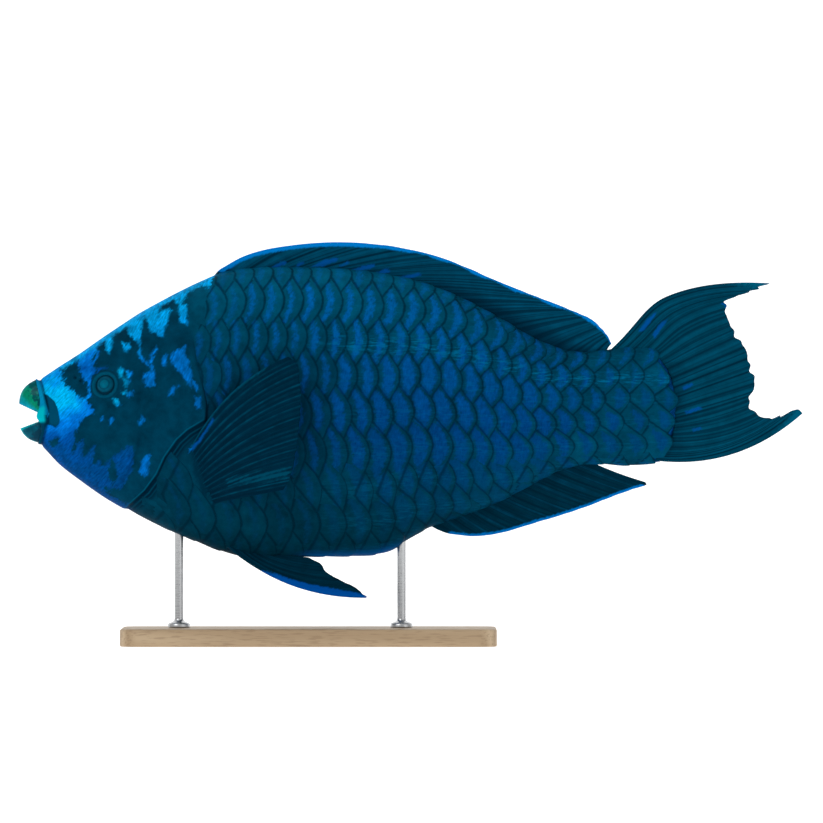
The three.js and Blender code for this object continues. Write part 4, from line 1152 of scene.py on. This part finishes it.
def fin_spread(rays, rows, place, ray_proud, web_thick, swell, reach, wave, fray=0.006):
    """A fin's sheet with where its two faces lie; a runs from ray to ray, b out from the root."""
    sheet, a, b = grid_sheet((rays - 1) * PER_RAY, rows)
    nudge = 0.004
    phase = a * (rays - 1)
    notch = fray * (0.5 - 0.5 * np.cos(2 * math.pi * phase)) * (1 + np.sin(a * 37))
    b_shown = b * (1 - notch * np.clip(a / 0.06, 0, 1) * np.clip((1 - a) / 0.06, 0, 1))
    off_ray = np.abs(phase - np.rint(phase))
    twin = np.abs(2 * phase - np.rint(2 * phase)) / 2
    main = bell(off_ray, 0, 0.17)
    forked = bell(twin, 0, 0.12)
    ridge = partway(main, np.maximum(0.5 * main, forked), ease(b, 0.45, 0.75))
    middle = place(a, b_shown)
    along_fin = place(np.minimum(1, a + nudge), b) - place(np.maximum(0, a - nudge), b)
    out_fin = place(a, np.minimum(1, b + nudge)) - place(a, np.maximum(0, b - nudge))
    facing_fin = unit_vectors(np.cross(along_fin, out_fin))
    length = np.linalg.norm(place(a, np.ones_like(b)) - place(a, np.zeros_like(b)), axis=1)
    rim = (1 - b) * length
    span = np.linalg.norm(place(np.ones_like(a), b) - place(np.zeros_like(a), b), axis=1)
    side_rim = np.minimum(a, 1 - a) * span
    thin = np.sqrt(np.clip(np.minimum(rim, side_rim + 0.6) / 2.5, 0.02, 1))
    half = (web_thick * partway(1, 0.5, b) + ray_proud * ridge * partway(1, 0.35, b)) / 2 * thin
    half += swell * np.maximum(0, 1 - b / reach) ** 1.5 / 2
    middle = middle + facing_fin * (wave * ease(b, 0, 1) * np.sin(a * 21 + b * 3))[:, None]
    set_fields(sheet, ray=off_ray * 2, twin=twin * 4, out=b, lead=a)
    return sheet, a, b, middle + facing_fin * half[:, None], middle - facing_fin * half[:, None]


def on_ray(root, tip, bow, b):
    swell = 4 * b * (1 - b)
    return [partway(root[k], tip[k], b) + bow[k] * swell for k in (0, 1)]


def along_chain(points):
    """A place at a share of the way along a chain of points."""
    spots = np.array(points, float)
    steps = np.hypot(*np.diff(spots, axis=0).T)
    run_to = np.concatenate([[0], np.cumsum(steps)]) / steps.sum()
    x, z = (through(list(zip(run_to, spots[:, k]))) for k in (0, 1))
    return lambda share: (x(share), z(share))


def triple(x, y, z):
    return np.stack(np.broadcast_arrays(x, y, z), -1).astype(float)


DORSAL_ROOT = (154, 469)
DORSAL_TIPS = along_chain([
    (162, 114.6), (180, 124.4), (201, 130.4), (233, 134.6), (264, 135.4), (297, 132.6),
    (329, 125.8), (353, 117.6), (384.8, 103.6), (416.8, 91), (441.8, 81.2), (458.5, 73.4),
    (470, 62), (474, 54),
])
DORSAL_SHARE = through([(0, 0), (0.15, 0.31), (0.48, 0.72), (0.7, 0.87), (0.86, 0.95), (1, 1)])
ANAL_ROOT = (327, 455)
ANAL_TIPS = along_chain([
    (345, -98), (364, -99.8), (385, -97.4), (401, -92.8), (417, -88), (433, -83.2),
    (449, -78), (465, -72), (481, -65.8), (494, -61.4), (502, -58.6), (501, -56.4),
])
ANAL_SHARE = through([(0, 0), (0.3, 0.33), (0.6, 0.66), (0.82, 0.88), (1, 1)])
TAIL_ROOT = along_chain([
    (471, 50), (496, 51), (512, 45.5), (523, 30), (527, 8), (526, -14), (521, -30),
    (511, -38), (503, -40.5),
])
TAIL_EDGE = along_chain([
    (601, 102.6), (593, 98.2), (573, 91.6), (567, 87.4), (566.5, 76), (571, 67), (576, 59),
    (581, 51), (585, 38), (588.6, 28), (588, 18), (584.6, 10), (587, 3), (594, -4.4),
    (604, -4.4), (614, -1), (623, 1.8), (627, -1.4),
])
TAIL_MIDDLE = (480, 3.5)
UPPER_LOBE_TO, LOWER_LOBE_FROM = 0.4, 0.62
UPPER_BOW, LOWER_BOW = (-18, 17), (4, -15)
PECTORAL_ROOT = ((137.6, -31), (156, -73))
PECTORAL_TIPS = along_chain([
    (216, 43.6), (222.4, 39.6), (225.6, 25.2), (226.4, 9.2), (225.6, -6.8), (224, -22.8),
    (221.6, -37.2), (218.4, -50.8), (212, -62.4),
])
PECTORAL_STAND_OFF = 22
PECTORAL_BULGE = 5
PELVIC_FOOT = ((163, 16), (194, 9))
PELVIC_SPREAD = (27, 11)
PELVIC_TIPS = along_chain([
    (278.6, -148.6), (268, -140.6), (254, -133.6), (247, -129.4), (241, -122), (232, -117),
])


def upright_fin(root_ends, body_line, sunk, tips, shares, bow):
    """A fin on the midline, whose rays stand between the body's outline and its tips."""
    def place(a, b):
        root = partway(*root_ends, a)
        x, z = on_ray((root, body_line(root) + sunk), tips(shares(a)), bow, b)
        return triple(x, 0, z)
    return place


dorsal_place = upright_fin(DORSAL_ROOT, back_line, -BURIED, DORSAL_TIPS, DORSAL_SHARE, (0, 1.2))
anal_place = upright_fin(ANAL_ROOT, belly_line, BURIED, ANAL_TIPS, ANAL_SHARE, (0, -1))


def tail_place(a, b):
    """The tail fin: the rays of its two long lobes bow away from the middle."""
    upper_lobe = np.clip(1 - a / UPPER_LOBE_TO, 0, 1) ** 1.5 * partway(0.53, 1, ease(b, 0, 0.5))
    lower_lobe = np.clip((a - LOWER_LOBE_FROM) / (1 - LOWER_LOBE_FROM), 0, 1) ** 1.5
    bow = [upper_lobe * UPPER_BOW[k] + lower_lobe * LOWER_BOW[k] for k in (0, 1)]
    root = [partway(at, TAIL_MIDDLE[k], 0.05) for k, at in enumerate(TAIL_ROOT(a))]
    x, z = on_ray(root, TAIL_EDGE(a), bow, b)
    return triple(x, 0, z)


def pectoral_place(fin_way):
    def place(a, b):
        root = [partway(PECTORAL_ROOT[0][k], PECTORAL_ROOT[1][k], a) for k in (0, 1)]
        tip = PECTORAL_TIPS(a)
        x, z = on_ray(root, tip, (-6.5 * (1 - a), 8 * (1 - a)), b)
        inner = half_width(root[0], root[1]) - BURIED
        outer = half_width(tip[0], tip[1]) + PECTORAL_STAND_OFF
        off_midline = partway(inner, outer, b) + PECTORAL_BULGE * np.sin(math.pi * b)
        return triple(x, fin_way * off_midline, z)
    return place


def belly_at(at_along, side):
    """The height of the belly's skin at a distance from the midline."""
    top, bottom = back_line(at_along), belly_line(at_along)
    middle = partway(bottom, top, WIDEST_SHARE)
    s = (side / flank_line(at_along)) ** (1 / BELLY_TAPER)
    return middle - np.sqrt(1 - s * s) * (middle - bottom)


def pelvic_place(fin_way):
    def place(a, b):
        foot = [partway(PELVIC_FOOT[0][k], PELVIC_FOOT[1][k], a) for k in (0, 1)]
        root = (foot[0], belly_at(*foot) + BURIED)
        x, z = on_ray(root, PELVIC_TIPS(a), (-5 * (1 - a), -11.5 * (1 - a)), b)
        return triple(x, fin_way * partway(foot[1], partway(*PELVIC_SPREAD, a), b), z)
    return place


def fin_material(name, web, ray, glow, streak=0.55):
    """Dark web, paler rays, and bright blue where the fin's own glow field says."""
    paint = new_material(name, 0.45, 0.3)
    field, times, between = paint.field, paint.times, paint.between
    on_main = between(field("ray"), 0.1, 0.55, 1, 0)
    on_twin = between(field("twin"), 0.1, 0.6, 1, 0)
    outer_half = between(field("out"), 0.4, 0.75)
    lined = paint.node("Mix", {0: outer_half, 2: on_main, 3: on_twin}).outputs[0]
    strength = between(paint.noise(120, 4), 0.35, 0.7, streak * 0.35, streak)
    bands = paint.node("TexNoise", {"W": times(field("lead"), 55), "Scale": 1.0, "Detail": 3},
                       noise_dimensions="1D").outputs[0]
    colour = paint.coats(
        clouded(paint, web, 80, 0.25),
        (times(lined, strength), ray),
        (between(bands, 0.4, 0.68, 0, 0.7), sea(0.014, 0.03)),
        (between(field("ray"), 0.7, 1.0, 0, 0.7), sea(0.014, 0.03)),
        # darker at the root, and along the pectoral's lower edge a painted shadow
        (times(field("dusk"), 0.75), sea(0.012, 0.028)),
        (times(patch(paint, field("dash"), 2.4, 300, 0.9), 0.8), sea(0.075, 0.33)),
        (patch(paint, field("glow"), 2.6, 260, 1.1), glow),
    )
    return paint.finish(colour, paint.noise(520, 4), 0.35, 0.0004)


def make_fin(name, spread_of, glow_of, material, *nodes, painted_shadow_edge=0.0, **shape):
    """A fin as a piece: its shape, the paint's fields on it, and the nodes it stands for."""
    sheet, a, b, outer, inner = fin_spread(place=spread_of, **shape)
    x, _, z = spread_of(a, b).T
    dashes = np.maximum.reduce([inside(dash, x, z) for dash in FIN_DASHES])
    dusk = (1 - ease(b, 0.1, 0.5)) * ease(x, 300, 360) * (1 - ease(x, 440, 480))
    # Darker at the root of the low fins; on the pectoral's lower edge a painted shadow, the one the
    # fin casts on the body under it.
    root_dark_and_shadow = np.maximum(0.4 * (1 - ease(b, 0, 0.3)), painted_shadow_edge * ease(a, 0.95, 0.99))
    set_fields(sheet, glow=glow_of(a, b, x, z), dash=dashes, dusk=np.where(z > 40, dusk, root_dark_and_shadow))
    closed_shell(sheet, in_frame(*outer.T), in_frame(*inner.T))
    show_piece(name, sheet, material, "fins", *nodes)


def to_margin(tips, x, z):
    """Distance in millimetres from a fin's outer margin."""
    return np.abs(beside(list(zip(*tips(np.linspace(0, 1, 60)))), x, z))


FIN_DASHES = [from_photo(*outline) for outline in (
    ((226, 268), (236, 262), (238, 264), (229, 270)),
    ((271, 267), (285, 260.5), (287, 263), (273, 269)),
    ((296, 265), (303, 260.5), (305, 263), (298, 267)),
    ((311, 266.5), (322, 260.5), (338, 257.5), (337, 261.5), (322, 266.5)),
    ((339, 265.5), (349, 260.5), (350, 263), (342, 267)),
    ((351, 270.5), (362, 266), (376, 263.4), (375, 267), (360, 272)),
    ((373, 274.5), (389, 267.5), (390, 272), (376, 276)),
    ((393, 279.5), (405, 275.5), (421, 272.5), (421, 275.5), (404, 280)),
    ((682, 387.5), (692, 382.5), (694, 385), (684, 390)),
    ((685, 411.5), (700, 406.5), (702, 409), (686, 414)),
    ((692, 429.5), (700, 426.5), (702, 428.5), (693, 432)),
    ((638, 332), (648, 318), (657, 311), (655, 316), (644, 330)),
    ((652, 335), (660, 324), (668, 318), (664, 325), (655, 338)),
    ((724, 303), (728, 302), (729, 307), (725, 308)),
    ((189, 452), (192, 446.5), (199, 440.5), (205, 431.5), (214, 418), (216, 419.5), (207, 433.5),
     (200.5, 443), (193, 451)),
)]


def dorsal_glow(a, b, x, z):
    dashes = 2.1 + 0.9 * np.sin(x * 0.21)
    return partway(4.0, dashes, ease(x, 270, 340)) - to_margin(DORSAL_TIPS, x, z) * 1.2


def anal_glow(a, b, x, z):
    return np.where((b > 0.4) & (a < 0.97), 2.6 - to_margin(ANAL_TIPS, x, z) * 1.3, -5)


def tail_glow(a, b, x, z):
    ends = np.maximum(1.5 - 14 * a, 1.5 - 14 * (1 - a))
    return ends + (b - 1) * 11 + 0.4 - 2.5 * np.minimum(1, np.minimum(a, 1 - a) * 12)


PECTORAL_BAND = from_photo((226, 478), (262, 471), (292, 466), (292, 478), (262, 482), (230, 485))


def pectoral_glow(a, b, x, z):
    low_band = 0.45 * inside(PECTORAL_BAND, x, z) - 0.9
    low_band -= 1.2 * np.sin(a * 150 + 2 * b)
    return np.maximum(1.4 - a * 90 - 3 * ease(b, 0.75, 0.9), low_band)


PELVIC_BLUE = from_photo(
    (262, 572), (275, 575), (292, 581), (312, 586), (335, 590), (356, 594), (370, 597),
    (355, 602), (320, 598), (292, 592), (268, 582),
)


def pelvic_glow(a, b, x, z):
    return inside(PELVIC_BLUE, x, z) + 1.2


dorsal_paint = fin_material("dorsal_paint", sea(0.056, 0.112), sea(0.085, 0.18), sea(0.19, 0.6))
anal_paint = fin_material("anal_paint", sea(0.024, 0.046), sea(0.06, 0.13), sea(0.15, 0.5))
tail_paint = fin_material("tail_paint", sea(0.056, 0.105), sea(0.08, 0.155), sea(0.095, 0.175))
pectoral_paint = fin_material("pectoral_paint", sea(0.017, 0.038), sea(0.055, 0.105),
                              sea(0.054, 0.102), 0.95)
pelvic_paint = fin_material("pelvic_paint", sea(0.026, 0.05), sea(0.045, 0.09),
                            sea(0.08, 0.38))
make_fin("dorsal_fin_skin", dorsal_place, dorsal_glow, dorsal_paint, "dorsal_fin",
         rays=19, rows=46, ray_proud=1.3, web_thick=1.0, swell=2.4, reach=0.22, wave=0.5)
make_fin("anal_fin_skin", anal_place, anal_glow, anal_paint, "anal_fin",
         rays=12, rows=46, ray_proud=1.3, web_thick=1.0, swell=2.4, reach=0.22, wave=0.5)
make_fin("tail_fin_skin", tail_place, tail_glow, tail_paint, "tail_fin_upper", "tail_fin_lower",
         rays=18, rows=60, ray_proud=1.5, web_thick=1.2, swell=2.6, reach=0.25, wave=0.8,
         fray=0.022)
for side_name, fin_way in (("left", -1), ("right", 1)):
    # The pectoral's lower edge carries a painted shadow.
    make_fin("pectoral_" + side_name, pectoral_place(fin_way), pectoral_glow, pectoral_paint,
             "pectoral_fin_" + side_name, rays=14, rows=60, ray_proud=1.3, web_thick=0.9,
             swell=4.2, reach=0.35, wave=0.7, painted_shadow_edge=0.9)
    make_fin("pelvic_" + side_name, pelvic_place(fin_way), pelvic_glow, pelvic_paint,
             "pelvic_fin_" + side_name, rays=6, rows=60, ray_proud=1.3, web_thick=1.0,
             swell=2.8, reach=0.3, wave=0.5)

# The display stand: an ash slab with rounded corners, and two brushed steel rods, each with a
# turned foot, that end in the belly.
BASE = {"length": 300, "width": 140, "thick": 14, "corner": 16, "chamfer": 1.5}
ROD = {"radius": 3.5, "foot": 9, "foot_high": 6}
ROD_PLACES = {"front": 128, "rear": 306}


def base_sheet():
    slab = bmesh.new()
    bmesh.ops.create_cube(slab, size=1)
    bmesh.ops.scale(slab, verts=slab.verts,
                    vec=(BASE["length"] * MM, BASE["width"] * MM, BASE["thick"] * MM))
    bmesh.ops.translate(slab, verts=slab.verts, vec=(0, 0, BASE["thick"] * MM / 2))
    posts = [e for e in slab.edges if abs(e.verts[0].co.z - e.verts[1].co.z) > 0.005]
    bmesh.ops.bevel(slab, geom=posts, offset=BASE["corner"] * MM, segments=10, profile=0.5,
                    affect="EDGES", material=-1)
    rims = [e for e in slab.edges if abs(e.verts[0].co.z - e.verts[1].co.z) < 1e-6]
    bmesh.ops.bevel(slab, geom=rims, offset=BASE["chamfer"] * MM, segments=4, profile=0.5,
                    affect="EDGES", material=-1)
    bmesh.ops.recalc_face_normals(slab, faces=slab.faces)
    return slab


def rod_sheet(at_along):
    rod = bmesh.new()
    foot_at = BASE["thick"] + 0.3
    top = float(belly_line(at_along)) + AXIS_HEIGHT + 4
    outline = [
        (0, foot_at), (ROD["foot"] - 0.5, foot_at), (ROD["foot"], foot_at + 0.5),
        (ROD["foot"], foot_at + 2.6), (ROD["foot"] - 0.8, foot_at + 3.6), (6, foot_at + 4.4),
        (4.4, foot_at + 5.2), (3.8, foot_at + 6), (ROD["radius"], foot_at + 7.5),
        (ROD["radius"], top), (0, top),
    ]
    corners = [rod.verts.new((r * MM, 0, z * MM)) for r, z in outline]
    edges = [rod.edges.new(pair) for pair in zip(corners, corners[1:])]
    bmesh.ops.spin(rod, geom=corners + edges, cent=(0, 0, 0), axis=(0, 0, 1),
                   angle=2 * math.pi, steps=40, use_merge=True)
    bmesh.ops.remove_doubles(rod, verts=rod.verts, dist=1e-6)
    bmesh.ops.recalc_face_normals(rod, faces=rod.faces)
    bmesh.ops.translate(rod, verts=rod.verts, vec=((at_along - BALANCE) * MM, 0, 0))
    return rod


def ash_material():
    paint = new_material("oiled_ash", 0.5, 0.4, wet=False)
    along_grain = paint.stretched(paint.place, Scale=(1.2, 14, 14))
    warp = paint.noise(3, 4, place=along_grain, Distortion=0.6)
    lines = paint.node("TexWave", {"Vector": along_grain, "Scale": 2.6, "Distortion": 5,
                                   "Detail": 3}, bands_direction="Y").outputs["Fac"]
    pores = paint.noise(60, 2, place=along_grain)
    figure = paint.reckon("MULTIPLY_ADD", warp, 0.5, paint.times(lines, 0.5))
    wood = paint.ramp(figure, rgb(0.33, 0.22, 0.12), rgb(0.60, 0.46, 0.30))
    dots = paint.between(pores, 0.52, 0.66, 0, 0.35)
    return paint.finish(paint.coats(wood, (dots, rgb(0.2, 0.12, 0.06))), pores, 0.2, 0.0003)


def steel_material():
    paint = new_material("brushed_steel", 0.3, 0.5, wet=False)
    paint.shader["Metallic"].default_value = 1.0
    brush = paint.noise(4, 3, place=paint.stretched(paint.place, Scale=(20, 20, 500)))
    colour = paint.ramp(brush, rgb(0.53, 0.54, 0.55), rgb(0.6, 0.61, 0.62))
    return paint.finish(colour, rough=paint.between(brush, 0.3, 0.7, 0.24, 0.38))


show_piece("base", base_sheet(), ash_material(), "base", "stand_base", crease=40)
steel = steel_material()
for rod_name, at_along in ROD_PLACES.items():
    show_piece("rod_" + rod_name, rod_sheet(at_along), steel, "rods", "stand_rod_" + rod_name,
               crease=40)

# The studio: a pale seamless sweep under even, soft light, and the camera level with the fish.
PHOTO_WIDE = 823
PICTURE_WIDE = PHOTO_WIDE * PHOTO_POINT * MM
LENS = 500
SENSOR = 36
VIEW_CENTRE = (0.082, 0.187)
SWEEP = {"front": -4.4, "floor": 6.0, "bend": 1.2, "wall": 3.0, "wide": 12}


def sweep():
    """A sheet of paper that lies on the floor and bends up into the background."""
    sheet, a, b = grid_sheet(4, 60)
    bend, floor_long = SWEEP["bend"], SWEEP["floor"]
    reach = b * (floor_long + bend * math.pi / 2 + SWEEP["wall"])
    angle = np.clip((reach - floor_long) / bend, 0, math.pi / 2)
    rise = np.maximum(0, reach - floor_long - bend * math.pi / 2)
    y = SWEEP["front"] + np.minimum(reach, floor_long) + bend * np.sin(angle)
    z = bend * (1 - np.cos(angle)) + rise
    set_places(sheet, triple((a - 0.5) * SWEEP["wide"], y, z))
    paint = new_material("pale_paper", 0.9, 0.1, wet=False)
    paint.shader["Emission Color"].default_value = rgb(1, 1, 1)
    paint.shader["Emission Strength"].default_value = 0.55
    paper = paint.ramp(paint.noise(30, 4), rgb(0.93, 0.93, 0.93), rgb(0.97, 0.97, 0.97))
    solid_from("sweep", sheet, paint.finish(paper))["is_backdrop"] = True


def soft_light(name, place, aim, size, power):
    """A rectangle of light at a place, turned towards what it lights."""
    lamp = bpy.data.lights.new(name, "AREA")
    lamp.shape = "RECTANGLE"
    lamp.size, lamp.size_y = size
    lamp.energy = power
    held = put_in_scene(name, lamp)
    held.location = place
    x, y, z = np.array(aim) - np.array(place)
    held.rotation_euler = (math.atan2(math.hypot(x, y), -z), 0, math.atan2(-x, y))


sweep()
soft_light("key", (-1.3, -1.7, 1.7), (-0.05, 0, 0.2), (1.1, 1.1), 14)
soft_light("fill", (1.6, -1.6, 0.7), (0.1, 0, 0.2), (1.4, 1.4), 4)
soft_light("overhead", (0, 0.2, 1.9), (0, 0, 0.2), (1.8, 1.2), 5)
world = bpy.data.worlds.new("studio")
world.use_nodes = True
daylight = world.node_tree.nodes["Background"].inputs
daylight["Color"].default_value = rgb(1, 1, 1)
daylight["Strength"].default_value = 0.45
bpy.context.scene.world = world
bpy.context.scene.view_settings.view_transform = "Standard"

camera = bpy.data.cameras.new("camera")
camera.lens = LENS
camera.sensor_width = SENSOR
camera.dof.use_dof = False
eye_point = put_in_scene("camera", camera)
eye_point.location = (VIEW_CENTRE[0], -LENS / SENSOR * PICTURE_WIDE, VIEW_CENTRE[1])
eye_point.rotation_euler = (math.pi / 2, 0, 0)
bpy.context.scene.camera = eye_point

low, high_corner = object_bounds()
